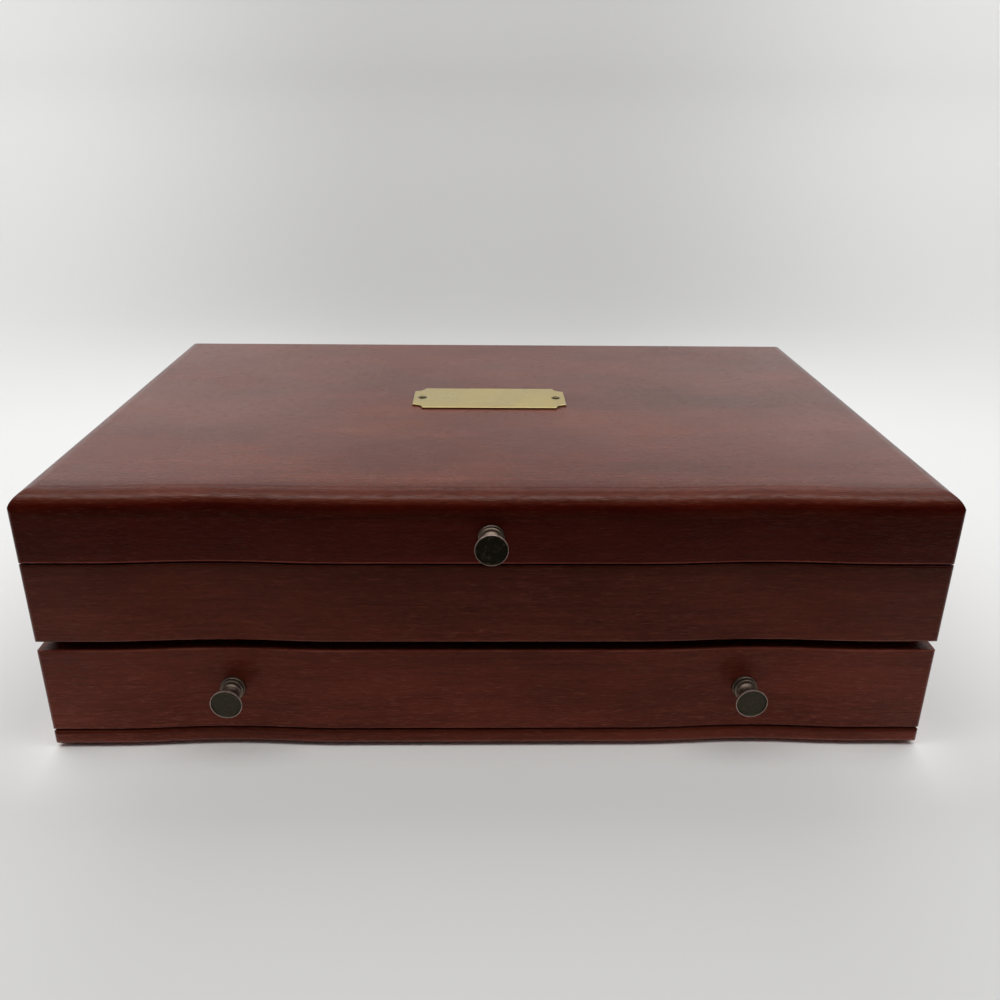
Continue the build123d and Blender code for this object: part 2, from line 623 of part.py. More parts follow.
def slotted_rack(x):
    """A slotted rack bar that holds forks or spoons on edge, with round-bottomed slots."""
    foot, top = RACK_FOOT_WIDTH / 2, RACK_TOP_WIDTH / 2
    outline = [
        (RACK_Y - foot, FLOOR_LINING_TOP),
        (RACK_Y + foot, FLOOR_LINING_TOP),
        (RACK_Y + top, RACK_TOP),
        (RACK_Y - top, RACK_TOP),
    ]
    bar = prism_along_x(outline, (x - RACK_LENGTH / 2, x + RACK_LENGTH / 2))
    bar = fillet(bar.edges().filter_by(Axis.X).group_by(Axis.Z)[-1], RACK_ROUND)
    pitch = RACK_LENGTH / RACK_SLOTS
    y_span = (RACK_Y - foot - CUT_MARGIN, RACK_Y + foot + CUT_MARGIN)
    half_slot = RACK_SLOT_WIDTH / 2
    round_z = RACK_TOP - RACK_SLOT_DEPTH + half_slot
    for index in range(RACK_SLOTS):
        slot_x = x - RACK_LENGTH / 2 + (index + 0.5) * pitch
        bar -= block((slot_x - half_slot, slot_x + half_slot), y_span, (round_z, RACK_TOP + CUT_MARGIN))
        bar -= rod_along_y(slot_x, y_span, round_z, half_slot)
    return bar


def make_compartment():
    """The floor in its grooves, the linings, three dividers and four slotted racks."""
    reach = GROOVE_DEPTH - PANEL_END_CLEARANCE
    floor = block(
        (-INNER_HALF_WIDTH - reach, INNER_HALF_WIDTH + reach),
        (INNER_FRONT_Y - reach, INNER_BACK_Y + reach),
        (FLOOR_FOOT, FLOOR_TOP),
    )
    inside_y = (INNER_FRONT_Y, INNER_BACK_Y)
    lining_z = (FLOOR_LINING_TOP, CASE_TOP - LINING_REVEAL)
    pieces = {
        "compartment_floor": floor,
        "compartment_floor_lining": block(
            (-INNER_HALF_WIDTH, INNER_HALF_WIDTH), inside_y, (FLOOR_TOP, FLOOR_LINING_TOP)
        ),
        "compartment_wall_lining": Compound(wall_lining(INNER_HALF_WIDTH, inside_y, lining_z)),
    }
    divider_y = (LINED_FRONT_Y, LINED_BACK_Y)
    divider_z = (FLOOR_LINING_TOP, CASE_TOP - DIVIDER_DROP)
    step = BAY_WIDTH + DIVIDER_THICKNESS
    for index in range(BAYS):
        bay_x = -LINED_HALF_WIDTH + BAY_WIDTH / 2 + index * step
        pieces[f"flatware_rack_{index + 1}"] = slotted_rack(bay_x)
        if index:
            pieces[f"compartment_divider_{index}"] = divider(
                bay_x - step / 2, divider_y, divider_z, DIVIDER_THICKNESS
            )
    return pieces


# ---- Drawer --------------------------------------------------------------------------------------
def make_drawer():
    """The drawer: overlay front, sides, back, grooved bottom, linings and dividers."""
    inner_half = DRAWER_INNER_HALF_WIDTH
    side_z = (DRAWER_SIDE_FOOT, DRAWER_SIDE_TOP)
    groove_z = (DRAWER_BOTTOM_FOOT, DRAWER_BOTTOM_TOP)
    groove_x = (-inner_half - GROOVE_DEPTH, inner_half + GROOVE_DEPTH)
    groove_y = (DRAWER_FRONT_BACK_Y - GROOVE_DEPTH, DRAWER_INNER_BACK_Y + GROOVE_DEPTH)
    groove = block(groove_x, groove_y, groove_z)
    box_y = (DRAWER_FRONT_BACK_Y - DRAWER_TONGUE, DRAWER_BACK_Y)
    left = block((-DRAWER_HALF_WIDTH, -inner_half), box_y, side_z)
    right = block((inner_half, DRAWER_HALF_WIDTH), box_y, side_z)
    back = block(groove_x, (DRAWER_INNER_BACK_Y, DRAWER_BACK_Y), side_z)
    front = rounded_block((DRAWER_FRONT_FOOT, DRAWER_FRONT_TOP), DRAWER_FRONT_ROUND, DRAWER_FRONT_ROUND)
    full_x = (-HALF_WIDTH - CUT_MARGIN, HALF_WIDTH + CUT_MARGIN)
    front -= block(full_x, (DRAWER_FRONT_BACK_Y, BACK_Y + CUT_MARGIN), (0, CASE_TOP))
    front -= [left, right, groove]
    for x in (-DRAWER_KNOB_X, DRAWER_KNOB_X):
        for cut in knob_cuts(x, DRAWER_KNOB_Z, DRAWER_FRONT_BACK_Y):
            front -= cut
    reach = GROOVE_DEPTH - PANEL_END_CLEARANCE
    bottom = block(
        (-inner_half - reach, inner_half + reach),
        (DRAWER_FRONT_BACK_Y - reach, DRAWER_INNER_BACK_Y + reach),
        groove_z,
    )
    inside_y = (DRAWER_FRONT_BACK_Y, DRAWER_INNER_BACK_Y)
    floor_lining_z = (DRAWER_BOTTOM_TOP, DRAWER_LINING_TOP)
    lining_z = (DRAWER_LINING_TOP, DRAWER_SIDE_TOP - LINING_REVEAL)
    pieces = {
        "drawer_front": front,
        "drawer_side_left": left - back - groove,
        "drawer_side_right": right - back - groove,
        "drawer_back": back - groove,
        "drawer_bottom": bottom,
        "drawer_floor_lining": block((-inner_half, inner_half), inside_y, floor_lining_z),
        "drawer_wall_lining": Compound(wall_lining(inner_half, inside_y, lining_z)),
    }
    lined_half = inner_half - LINING
    bay = (2 * lined_half - (DRAWER_BAYS - 1) * DIVIDER_THICKNESS) / DRAWER_BAYS
    divider_y = (DRAWER_FRONT_BACK_Y + LINING, DRAWER_INNER_BACK_Y - LINING)
    divider_z = (DRAWER_LINING_TOP, DRAWER_SIDE_TOP - DRAWER_DIVIDER_DROP)
    for index in range(1, DRAWER_BAYS):
        x = -lined_half + index * (bay + DIVIDER_THICKNESS) - DIVIDER_THICKNESS / 2
        pieces[f"drawer_divider_{index}"] = divider(x, divider_y, divider_z, DIVIDER_THICKNESS)
    return pieces


# ---- Lid -----------------------------------------------------------------------------------------
def knife_places():
    """The X places of the knives."""
    return [-KNIFE_BAR_LENGTH / 2 + (index + 0.5) * KNIFE_PITCH for index in range(KNIVES)]


def knife_bar(y):
    """A bar across the lid with its two lower edges rounded."""
    half_length, half_width = KNIFE_BAR_LENGTH / 2, KNIFE_BAR_WIDTH / 2
    y_span = (y - half_width, y + half_width)
    bar = block((-half_length, half_length), y_span, (KNIFE_BAR_FOOT, LID_LINING_FOOT))
    return fillet(bar.edges().filter_by(Axis.X).group_by(Axis.Z)[0], KNIFE_BAR_ROUND)


def blade_bar():
    """The bar at the knob side, with a shallow slot for each blade against the lid."""
    bar = knife_bar(BLADE_BAR_Y)
    half_slot = BLADE_SLOT_WIDTH / 2
    reach = KNIFE_BAR_WIDTH / 2 + CUT_MARGIN
    y_span = (BLADE_BAR_Y - reach, BLADE_BAR_Y + reach)
    for x in knife_places():
        slot_z = (LID_LINING_FOOT - BLADE_SLOT_HEIGHT, LID_LINING_FOOT + CUT_MARGIN)
        bar -= block((x - half_slot, x + half_slot), y_span, slot_z)
    return bar


def handle_bar():
    """The bar at the hinge side, with a round-cornered notch for each handle."""
    bar = knife_bar(HANDLE_BAR_Y)
    half_notch = HANDLE_NOTCH_WIDTH / 2
    reach = KNIFE_BAR_WIDTH / 2 + CUT_MARGIN
    y_span = (HANDLE_BAR_Y - reach, HANDLE_BAR_Y + reach)
    for x in knife_places():
        notch_z = (KNIFE_BAR_FOOT - CUT_MARGIN, KNIFE_BAR_FOOT + HANDLE_NOTCH_DEPTH)
        notch = block((x - half_notch, x + half_notch), y_span, notch_z)
        bar -= fillet(notch.edges().filter_by(Axis.Y).group_by(Axis.Z)[-1], HANDLE_NOTCH_ROUND)
    return bar


def lid_pad():
    """The padded panel that the knives lie on: crowned in the middle and drawn in at its edges."""
    gap = KNIFE_BAR_WIDTH / 2 + PAD_MARGIN
    half_width = LINED_HALF_WIDTH - PAD_MARGIN
    y_span = (BLADE_BAR_Y + gap, HANDLE_BAR_Y - gap)
    low_y, high_y = y_span
    edge_z = LID_LINING_FOOT - PAD_EDGE_THICKNESS
    crown_z = LID_LINING_FOOT - PAD_THICKNESS
    border = block((-half_width, half_width), y_span, (edge_z, LID_LINING_FOOT))
    length, width = 2 * half_width, high_y - low_y
    middle = Pos(0, (low_y + high_y) / 2, 0)
    face = middle * Rectangle(length, width)
    crown = middle * Rectangle(length - 2 * PAD_SHOULDER, width - 2 * PAD_SHOULDER)
    return border + loft([Pos(0, 0, edge_z) * face, Pos(0, 0, crown_z) * crown])


def make_lid():
    """The lid: rolled top board, mitred rails, linings, pad and knife bars."""
    inside_x = (-INNER_HALF_WIDTH, INNER_HALF_WIDTH)
    inside_y = (INNER_FRONT_Y, INNER_BACK_Y)
    rail_z = (LID_FOOT, LID_BOARD_FOOT)
    frame = rounded_block(rail_z, SEAM_ROUND, 0)
    frame -= block(inside_x, inside_y, (0, LID_TOP))
    frame -= back_bevel()
    for cut in hinge_mortises(1) + knob_cuts(0, LID_KNOB_Z, INNER_FRONT_Y):
        frame -= cut
    walls = mitred_walls(frame, rail_z)
    board = rounded_block((LID_BOARD_FOOT, LID_TOP), 0, LID_TOP_ROUND)
    for x in (-PLATE_SCREW_X, PLATE_SCREW_X):
        board -= plate_screw(x, SCREW_CLEARANCE)
    ceiling = block(inside_x, inside_y, (LID_LINING_FOOT, LID_BOARD_FOOT))
    lining = wall_lining(INNER_HALF_WIDTH, inside_y, (LID_FOOT + LINING_REVEAL, LID_LINING_FOOT))
    return {
        "lid_top_board": board,
        "lid_front_rail": walls["front"],
        "lid_back_rail": walls["back"],
        "lid_side_left": walls["left"],
        "lid_side_right": walls["right"],
        "lid_ceiling_lining": ceiling,
        "lid_wall_lining": Compound(lining),
        "lid_pad": lid_pad(),
        "knife_blade_bar": blade_bar(),
        "knife_handle_bar": handle_bar(),
    }


# ---- Name plate ----------------------------------------------------------------------------------
def plate_screw(x, clearance):
    """A domed screw through the plate, or with a clearance the room that it needs."""
    plate_top = LID_TOP + PLATE_THICKNESS
    radius = PLATE_SCREW_DIAMETER / 2 + clearance
    head_radius = PLATE_SCREW_HEAD_DIAMETER / 2
    shank = rod_along_z(x, PLATE_Y, (plate_top - PLATE_SCREW_LENGTH, plate_top), radius)
    if clearance:
        return shank
    dome_top = plate_top + PLATE_SCREW_HEAD_HEIGHT
    section = make_face(
        [
            Polyline((0, dome_top, 0), (0, plate_top, 0), (head_radius, plate_top, 0)),
            ThreePointArc(
                (head_radius, plate_top, 0),
                (head_radius / math.sqrt(2), plate_top + PLATE_SCREW_HEAD_HEIGHT / math.sqrt(2), 0),
                (0, dome_top, 0),
            ),
        ]
    )
    dome = Pos(x, PLATE_Y, 0) * Rot(90, 0, 0) * revolve(section, Axis.Y)
    cross_z = (dome_top - PLATE_CROSS_DEPTH, dome_top + CUT_MARGIN)
    half_length, half_width = PLATE_CROSS_LENGTH / 2, PLATE_CROSS_WIDTH / 2
    thin_y = (PLATE_Y - half_width, PLATE_Y + half_width)
    wide_y = (PLATE_Y - half_length, PLATE_Y + half_length)
    along_x = block((x - half_length, x + half_length), thin_y, cross_z)
    along_y = block((x - half_width, x + half_width), wide_y, cross_z)
    return shank + dome - along_x - along_y


def make_plate():
    """A thin bare plate with scooped corners and its two screws."""
    outline = Rectangle(PLATE_LENGTH, PLATE_WIDTH)
    for x in (-PLATE_LENGTH / 2, PLATE_LENGTH / 2):
        for y in (-PLATE_WIDTH / 2, PLATE_WIDTH / 2):
            outline -= Pos(x, y) * Circle(PLATE_CORNER_SCOOP)
    plate = Pos(0, PLATE_Y, LID_TOP) * extrude(outline, PLATE_THICKNESS)
    plate = chamfer(plate.edges().group_by(Axis.Z)[-1], PLATE_BEVEL)
    for x in (-PLATE_SCREW_X, PLATE_SCREW_X):
        plate -= plate_screw(x, SCREW_CLEARANCE)
    screws = [plate_screw(x, 0) for x in (-PLATE_SCREW_X, PLATE_SCREW_X)]
    return {"name_plate": plate, "plate_screws": Compound(screws)}


# ---- Every piece, one file each ------------------------------------------------------------------
makers = (
    make_base,
    make_case,
    make_runners,
    make_compartment,
    make_drawer,
    make_lid,
    make_hinges,
    make_knobs,
    make_plate,
)
for maker in makers:
    for name, piece in maker().items():
        export_step(piece, f"parts/{name}.step")
        print(name, "solids", len(piece.solids()), "volume", round(piece.volume, 1))
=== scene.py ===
"""The looks of a two-level silverware chest: finishes, linings, padding and small hardware."""
import logging
import math
from collections.abc import Callable, Iterator
from contextlib import contextmanager
from dataclasses import dataclass
from enum import Enum
from functools import cached_property
from itertools import product

import bmesh
import bpy
from mathutils import Matrix, Vector, noise


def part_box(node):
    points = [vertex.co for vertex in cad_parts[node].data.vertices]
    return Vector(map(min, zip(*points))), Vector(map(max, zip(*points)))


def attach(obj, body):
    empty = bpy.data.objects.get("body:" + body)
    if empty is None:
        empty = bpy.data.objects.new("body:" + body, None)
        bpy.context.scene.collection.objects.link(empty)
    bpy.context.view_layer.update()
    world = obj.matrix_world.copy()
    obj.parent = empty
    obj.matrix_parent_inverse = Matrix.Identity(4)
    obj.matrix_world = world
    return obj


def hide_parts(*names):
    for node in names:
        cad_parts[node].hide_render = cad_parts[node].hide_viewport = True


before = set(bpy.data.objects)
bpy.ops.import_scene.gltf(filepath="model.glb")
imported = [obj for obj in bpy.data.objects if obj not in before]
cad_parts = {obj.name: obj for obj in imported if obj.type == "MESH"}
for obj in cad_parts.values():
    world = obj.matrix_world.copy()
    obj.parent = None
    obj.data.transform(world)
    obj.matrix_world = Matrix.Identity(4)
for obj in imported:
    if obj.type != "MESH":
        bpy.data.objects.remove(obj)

LOG = logging.getLogger("silverware_chest")
MM = 0.001
WELD = 0.001 * MM
WHITE = (1.0, 1.0, 1.0)

Colour = tuple[float, float, float]
Point = tuple[float, float, float]
Pairs = tuple[tuple[float, float], ...]
Section = list[tuple[float, float]]
Inputs = dict[str | int, object]
Material = bpy.types.Material
Node = bpy.types.Node
Piece = bpy.types.Object
Socket = bpy.types.NodeSocket


# ---- Node graphs ----
class Graph:
    """A short way to write one node tree, in which every input takes a value or a socket."""

    def __init__(self, tree: bpy.types.NodeTree) -> None:
        """Starts from an empty tree."""
        self.tree = tree
        tree.nodes.clear()

    def feed(self, node: Node, inputs: Inputs) -> None:
        """Sets or links a node's inputs.

        Args:
            node: the node.
            inputs: what each input gets, by its name or number.
        """
        for key, value in inputs.items():
            if isinstance(value, Socket):
                self.tree.links.new(value, node.inputs[key])
            else:
                node.inputs[key].default_value = value

    def add(self, kind: str, inputs: Inputs | None = None, **settings: object) -> Node:
        """Adds a node.

        Args:
            kind: the node's type.
            inputs: what each input gets.
            settings: the node's own properties.

        Returns:
            The new node.
        """
        node = self.tree.nodes.new(kind)
        for name, value in settings.items():
            setattr(node, name, value)
        self.feed(node, inputs or {})
        return node

    def math(self, operation: str, first: object, *others: object) -> Socket:
        """Arithmetic from left to right.

        Args:
            operation: Blender's name for it.
            first: the first value.
            others: the values that follow, none where the operation takes only one.

        Returns:
            The result's socket.
        """
        for other in others or (0.0,):
            first = self.add("ShaderNodeMath", {0: first, 1: other}, operation=operation).outputs[0]
        return first

    def weighted(self, *parts: tuple[Socket, float]) -> Socket:
        """The sum of sockets, each times its weight."""
        return self.math("ADD", *(self.math("MULTIPLY", socket, weight) for socket, weight in parts))

    def distance(self, a: Socket, b: Socket) -> Socket:
        """The length across two sides at right angles."""
        return self.math("SQRT", self.math("ADD", self.math("POWER", a, 2.0), self.math("POWER", b, 2.0)))

    def remap(self, value: Socket, low: float, high: float, start: float = 0.0, end: float = 1.0) -> Socket:
        """A smooth clamped ramp of a value, from start at low to end at high."""
        inputs = dict(enumerate((value, low, high, start, end)))
        return self.add("ShaderNodeMapRange", inputs, interpolation_type="SMOOTHSTEP").outputs[0]

    def place(self, scale: Point = (1, 1, 1), turn: Point = (0, 0, 0), shift: Point = (0, 0, 0)) -> Socket:
        """Object coordinates, turned, scaled and shifted.

        Args:
            scale: how many pattern units a metre holds along each axis.
            turn: the rotation in radians.
            shift: the shift in pattern units.

        Returns:
            The vector's socket.
        """
        coordinates = self.add("ShaderNodeTexCoord").outputs["Object"]
        turned = self.add("ShaderNodeMapping", {"Vector": coordinates, "Rotation": turn}).outputs[0]
        return self.add("ShaderNodeMapping", {"Vector": turned, "Scale": scale, "Location": shift}).outputs[0]

    def axes(self, shift: Point = (0, 0, 0)) -> bpy.types.bpy_prop_collection:
        """The X, Y and Z of the object coordinates in metres, shifted."""
        return self.add("ShaderNodeSeparateXYZ", {0: self.place(shift=shift)}).outputs

    def noise(
        self, scale: Point, detail: float = 2.0, rough: float = 0.5, bend: float = 0.0,
        turn: Point = (0, 0, 0), shift: Point = (0, 0, 0),
    ) -> Socket:
        """Smooth noise from 0 to 1, placed as place() says, with its detail, roughness and distortion."""
        inputs = {"Vector": self.place(scale, turn, shift), "Scale": 1.0, "Detail": detail}
        return self.add("ShaderNodeTexNoise", inputs | {"Roughness": rough, "Distortion": bend}).outputs[0]

    def blend(self, share: object, a: Socket | Colour, b: Socket | Colour, mode: str = "MIX") -> Socket:
        """A colour a with a share of b, by Blender's name for the way of blending."""
        a, b = ((*c, 1.0) if isinstance(c, tuple) else c for c in (a, b))
        return self.add("ShaderNodeMix", {0: share, 6: a, 7: b}, data_type="RGBA", blend_type=mode).outputs[2]

    def grey(self, level: Socket) -> Socket:
        """A grey of a level."""
        return self.add("ShaderNodeCombineColor", dict.fromkeys(range(3), level)).outputs[0]

    def shaded(self, colour: Socket, level: Socket) -> Socket:
        """A colour times a level."""
        return self.blend(1.0, colour, self.grey(level), "MULTIPLY")

    def bump(self, height: Socket, depth: float) -> Socket:
        """A surface normal from a height of 0 to 1, where 1 is as many metres as depth says."""
        return self.add("ShaderNodeBump", {"Height": height, "Distance": depth, "Strength": 1.0}).outputs[0]


# ---- Finishes ----
@dataclass(frozen=True)
class Finish:
    """A named material with one Principled shader, which each kind of finish wires in its own way."""

    name: str

    def wire(self, g: Graph, shader: Node) -> None:
        """Feeds the shader, in each kind of finish."""
        raise NotImplementedError

    def make(self) -> Material:
        """Builds the material.

        Returns:
            The material.
        """
        material = bpy.data.materials.new(self.name)
        material.use_nodes = True
        g = Graph(material.node_tree)
        shader = g.add("ShaderNodeBsdfPrincipled")
        g.add("ShaderNodeOutputMaterial", {"Surface": shader.outputs[0]})
        self.wire(g, shader)
        return material


# How far the stained wood's pattern moves from one board to the next, in pattern units.
BOARD_STEP = (3.7, 5.3, 1.9)


class Grain(Enum):
    """Which way a board's grain runs, as the turn that lays the grain along the pattern's X."""

    ALONG_X = (0.0, 0.0, 0.0)
    ALONG_Y = (0.0, 0.0, -math.pi / 2)


class WoodLayer(Enum):
    """A board's pattern: units a metre along and across the grain, detail, roughness and distortion."""

    FIGURE = ((2.0, 17, 17), 3.0, 0.5, 0.4)
    CLOUD = ((16, 34, 34), 3.0, 0.55)
    STREAK = ((14, 420, 420), 4.0, 0.65, 0.2)
    FIBRE = ((150, 1200, 1200), 3.0, 0.6, 0.6)
    PORES = ((190, 2100, 2100), 2.0, 0.5)
    SPECKS = ((420, 620, 620), 1.0, 0.5)
    SMEAR = ((9, 9, 9), 3.0, 0.6)
    PEEL = ((420, 700, 700), 1.0, 0.5)


@dataclass(frozen=True)
class PaintedRollLight:
    """Where a board's top edge rolls over, and the painted light and shade and the shine round it.

    The stops are places on the way from the flat top down the roll, with the painted tint and the shine
    there.
    The painted highlight's drop and width are shares of the radius.
    """

    top: float
    radius: float
    front: float
    band_start: float = 22.0 * MM
    band_end: float = 11.0 * MM
    shoulder: float = 0.25
    skin: float = 0.6 * MM
    highlight_drop: float = 0.26
    highlight_width: float = 0.16
    # Each stop's tint paints light or shade into the colour.
    stops: tuple[tuple[float, Colour, float], ...] = (
        (0.00, (1.00, 1.00, 1.00), 1.00),
        (0.25, (0.80, 0.76, 0.76), 0.46),
        (0.36, (0.90, 0.88, 0.88), 0.80),
        (0.46, (1.00, 1.00, 1.00), 1.00),
        (0.57, (0.92, 0.76, 0.74), 0.80),
        (0.70, (0.66, 0.28, 0.26), 0.30),
        (0.84, (0.64, 0.32, 0.30), 0.40),
        (1.00, (0.72, 0.60, 0.62), 0.80),
    )

    def ramp(self, g: Graph) -> tuple[Node, Socket]:
        """The painted light and shade and the shine from the flat top, over the roll and down its front.

        Args:
            g: the graph.

        Returns:
            The ramp's node and the share of the painted highlight along the roll's shoulder.
        """
        _, y, z = g.axes()
        drop = g.math("SUBTRACT", self.top, z)
        flat = g.remap(y, self.front + self.band_start, self.front + self.band_end, 0.0, self.shoulder)
        rolled = g.remap(drop, 0.0, self.radius, self.shoulder, 1.0)
        rolled = g.math("MULTIPLY", rolled, g.remap(drop, 0.0, self.skin))
        node = g.add("ShaderNodeValToRGB", {0: g.math("MAXIMUM", flat, rolled)})
        elements = node.color_ramp.elements
        while len(elements) < len(self.stops):
            elements.new(0.5)
        for element, (position, colour, shine) in zip(elements, self.stops):
            element.position = position
            element.color = (*colour, shine)
        away = g.math("ABSOLUTE", g.math("SUBTRACT", drop, self.highlight_drop * self.radius))
        patchy = g.remap(g.noise((160, 600, 600), 3.0, 0.6), 0.36, 0.62, 0.35, 1.0)
        return node, g.math("MULTIPLY", g.remap(away, 0.0, self.highlight_width * self.radius, 1.0, 0.0), patchy)


@dataclass(frozen=True)
class StainedWood(Finish):
    """Stained wood under satin lacquer: soft figure, fine streaks, short pores, and a rubbed edge with a
    painted highlight.

    The edge's lighter line is given by its height and how far it reaches. The painted shading gives painted
    light and shade by height, as pairs of a height and a factor from low to high.
    """

    dark: Colour
    light: Colour
    fleck: Colour
    grain: Grain
    board: float
    tone: Colour = WHITE
    roughness: float = 0.25
    facing_tint: Colour = (0.42, 0.17, 0.12)
    worn_edge_and_highlight: tuple[float, float] | None = None
    painted_roll_light: PaintedRollLight | None = None
    painted_shading: Pairs = ()
    relief: float = 0.10 * MM

    def wear_and_highlight(self, g: Graph, height: Socket) -> Socket:
        """How far the stain is rubbed thin along the edge, as wear and a painted highlight.

        Args:
            g: the graph.
            height: the height's socket.

        Returns:
            The share's socket.
        """
        edge, reach = self.worn_edge_and_highlight
        away = g.math("ABSOLUTE", g.math("SUBTRACT", height, edge))
        patchy = g.remap(g.noise((40, 40, 40), 3.0, 0.6), 0.38, 0.66, 0.25, 1.0)
        return g.math("MULTIPLY", g.remap(away, 0.0, reach, 1.0, 0.0), patchy, 0.75)

    def painted_light_by_height(self, g: Graph, height: Socket) -> Socket:
        """The painted light and shade at each height.

        Args:
            g: the graph.
            height: the height's socket.

        Returns:
            The factor's socket.
        """
        total = self.painted_shading[0][1]
        for (low, before), (high, after) in zip(self.painted_shading, self.painted_shading[1:]):
            total = g.math("ADD", total, g.remap(height, low, high, 0.0, after - before))
        return total

    def wire(self, g: Graph, shader: Node) -> None:
        """Wires the stain with its painted light and shade, then its shine and its fine relief.

        Args:
            g: the material's graph.
            shader: its shader.
        """
        shift = tuple(self.board * step for step in BOARD_STEP)
        figure, cloud, streak, fibre, pores, specks, smear, peel = (
            g.noise(*layer.value, turn=self.grain.value, shift=shift) for layer in WoodLayer
        )
        pores = g.remap(pores, 0.56, 0.70)
        height = g.axes()[2]
        share = g.weighted((figure, 0.40), (cloud, 0.22), (streak, 0.38))
        colour = g.blend(g.remap(share, 0.3, 0.7), self.dark, self.light)
        colour = g.blend(g.remap(fibre, 0.50, 0.72, 0.0, 0.34), colour, self.fleck)
        colour = g.blend(g.math("MULTIPLY", pores, 0.34), colour, self.dark, "MULTIPLY")
        colour = g.blend(g.remap(specks, 0.80, 0.84, 0.0, 0.5), colour, self.fleck)
        # The lighter line along one edge is rubbed wear and a painted highlight.
        if self.worn_edge_and_highlight:
            colour = g.blend(self.wear_and_highlight(g, height), colour, self.fleck)
        shade = g.remap(cloud, 0.3, 0.7, 0.93, 1.07)
        # Painted light and shade by height.
        if self.painted_shading:
            shade = g.math("MULTIPLY", shade, self.painted_light_by_height(g, height))
        # The board's colour factor is partly painted shade.
        colour = g.blend(1.0, g.shaded(colour, shade), self.tone, "MULTIPLY")
        g.feed(shader, {"Specular Tint": (*self.facing_tint, 1.0)})
        if self.painted_roll_light:
            # Painted shade and a painted highlight round the roll, with the shine and a whiter reflection
            # along that highlight.
            ramp, line = self.painted_roll_light.ramp(g)
            colour = g.blend(1.0, colour, ramp.outputs["Color"], "MULTIPLY")
            colour = g.blend(g.math("MULTIPLY", line, 0.12), colour, self.fleck)
            g.feed(shader, {
                "Specular IOR Level": g.math("MULTIPLY", ramp.outputs["Alpha"], 0.5),
                "Specular Tint": g.blend(g.math("MULTIPLY", line, 0.75), self.facing_tint, WHITE),
            })
        g.feed(shader, {
            "Base Color": colour,
            "Roughness": g.remap(smear, 0.3, 0.7, self.roughness - 0.03, self.roughness + 0.04),
            "Normal": g.bump(g.weighted((peel, 0.45), (pores, -0.55)), self.relief),
        })


@dataclass(frozen=True)
class HeadPair:
    """Two like round screw heads, at plus and minus x."""

    x: float
    y: float
    radius: float

    def away(self, g: Graph) -> Socket:
        """How far a point is from the nearer head's middle, seen from above.

        Args:
            g: the graph.

        Returns:
            The distance's socket.
        """
        x, y, _ = g.axes()
        across = g.math("SUBTRACT", g.math("ABSOLUTE", x), self.x)
        return g.distance(across, g.math("SUBTRACT", y, self.y))


@dataclass(frozen=True)
class SatinMetal(Finish):
    """Metal with a rubbed, slightly uneven surface and a darker film in soft patches.

    mottle is how many patches of film a metre holds. Under a face's top at a given height, its edges get a
    painted shade line; heads are screws that the metal is darker round.
    """

    colour: Colour
    film: Colour
    film_share: float = 0.4
    roughness: float = 0.32
    mottle: float = 260.0
    painted_edge_shade_below: float | None = None
    heads: HeadPair | None = None
    painted_edge_shade: Colour = (0.06, 0.045, 0.02)
    dark_ring: Colour = (0.12, 0.085, 0.03)

    def wire(self, g: Graph, shader: Node) -> None:
        """Wires the film and the tarnish, then the brushed relief.

        Args:
            g: the material's graph.
            shader: its shader.
        """
        mottle = g.noise((self.mottle,) * 3, 4.0, 0.6)
        colour = g.blend(g.remap(mottle, 0.36, 0.66, 0.0, self.film_share), self.colour, self.film)
        # Painted shade along the face's edges, below its top.
        if self.painted_edge_shade_below is not None:
            edge = g.remap(g.axes()[2], self.painted_edge_shade_below - 0.24 * MM, self.painted_edge_shade_below - 0.04 * MM, 0.85, 0.0)
            colour = g.blend(edge, colour, self.painted_edge_shade)
        # A darker ring round each screw head.
        if self.heads:
            radius = self.heads.radius
            ring = g.remap(self.heads.away(g), radius + 0.35 * MM, radius + 1.0 * MM, 0.8, 0.0)
            colour = g.blend(ring, colour, self.dark_ring)
        g.feed(shader, {
            "Base Color": colour,
            "Roughness": g.remap(mottle, 0.3, 0.7, self.roughness - 0.06, self.roughness + 0.10),
            "Normal": g.bump(g.noise((self.mottle * 4,) * 3), 0.01 * MM),
            "Metallic": 1.0,
        })


@dataclass(frozen=True)
class PatinatedKnob(Finish):
    """Dark patinated bronze for a knob along Y, rubbed bright on its disc's rim and on its rings."""

    middle: Point
    disc_radius: float
    patina: Colour
    bronze: Colour = (0.235, 0.175, 0.140)
    rubbed: Colour = (0.50, 0.38, 0.33)
    roughness: float = 0.46

    def wire(self, g: Graph, shader: Node) -> None:
        """Wires the knob's body, its face and its rim.

        Args:
            g: the material's graph.
            shader: its shader.
        """
        x, y, z = g.axes(shift=tuple(-c for c in self.middle))
        front = g.remap(y, 0.4 * MM, 1.6 * MM, 1.0, 0.0)
        rim = g.remap(g.distance(x, z), self.disc_radius - 0.40 * MM, self.disc_radius - 0.20 * MM)
        mottle = g.noise((520, 520, 520), 4.0, 0.6)
        rings = g.noise((60, 1900, 60))
        body = g.blend(g.remap(rings, 0.38, 0.66, 0.0, 0.75), self.bronze, self.patina)
        face = g.blend(g.remap(mottle, 0.45, 0.75, 0.0, 0.20), self.patina, self.bronze)
        rubbed = g.math("MULTIPLY", rim, front, g.remap(mottle, 0.30, 0.60, 0.5, 1.0))
        g.feed(shader, {
            "Base Color": g.blend(rubbed, g.blend(front, body, face), self.rubbed),
            "Roughness": g.remap(mottle, 0.3, 0.7, self.roughness - 0.04, self.roughness + 0.08),
            "Normal": g.bump(g.noise((2600, 2600, 2600)), 0.008 * MM),
            "Metallic": 1.0,
        })


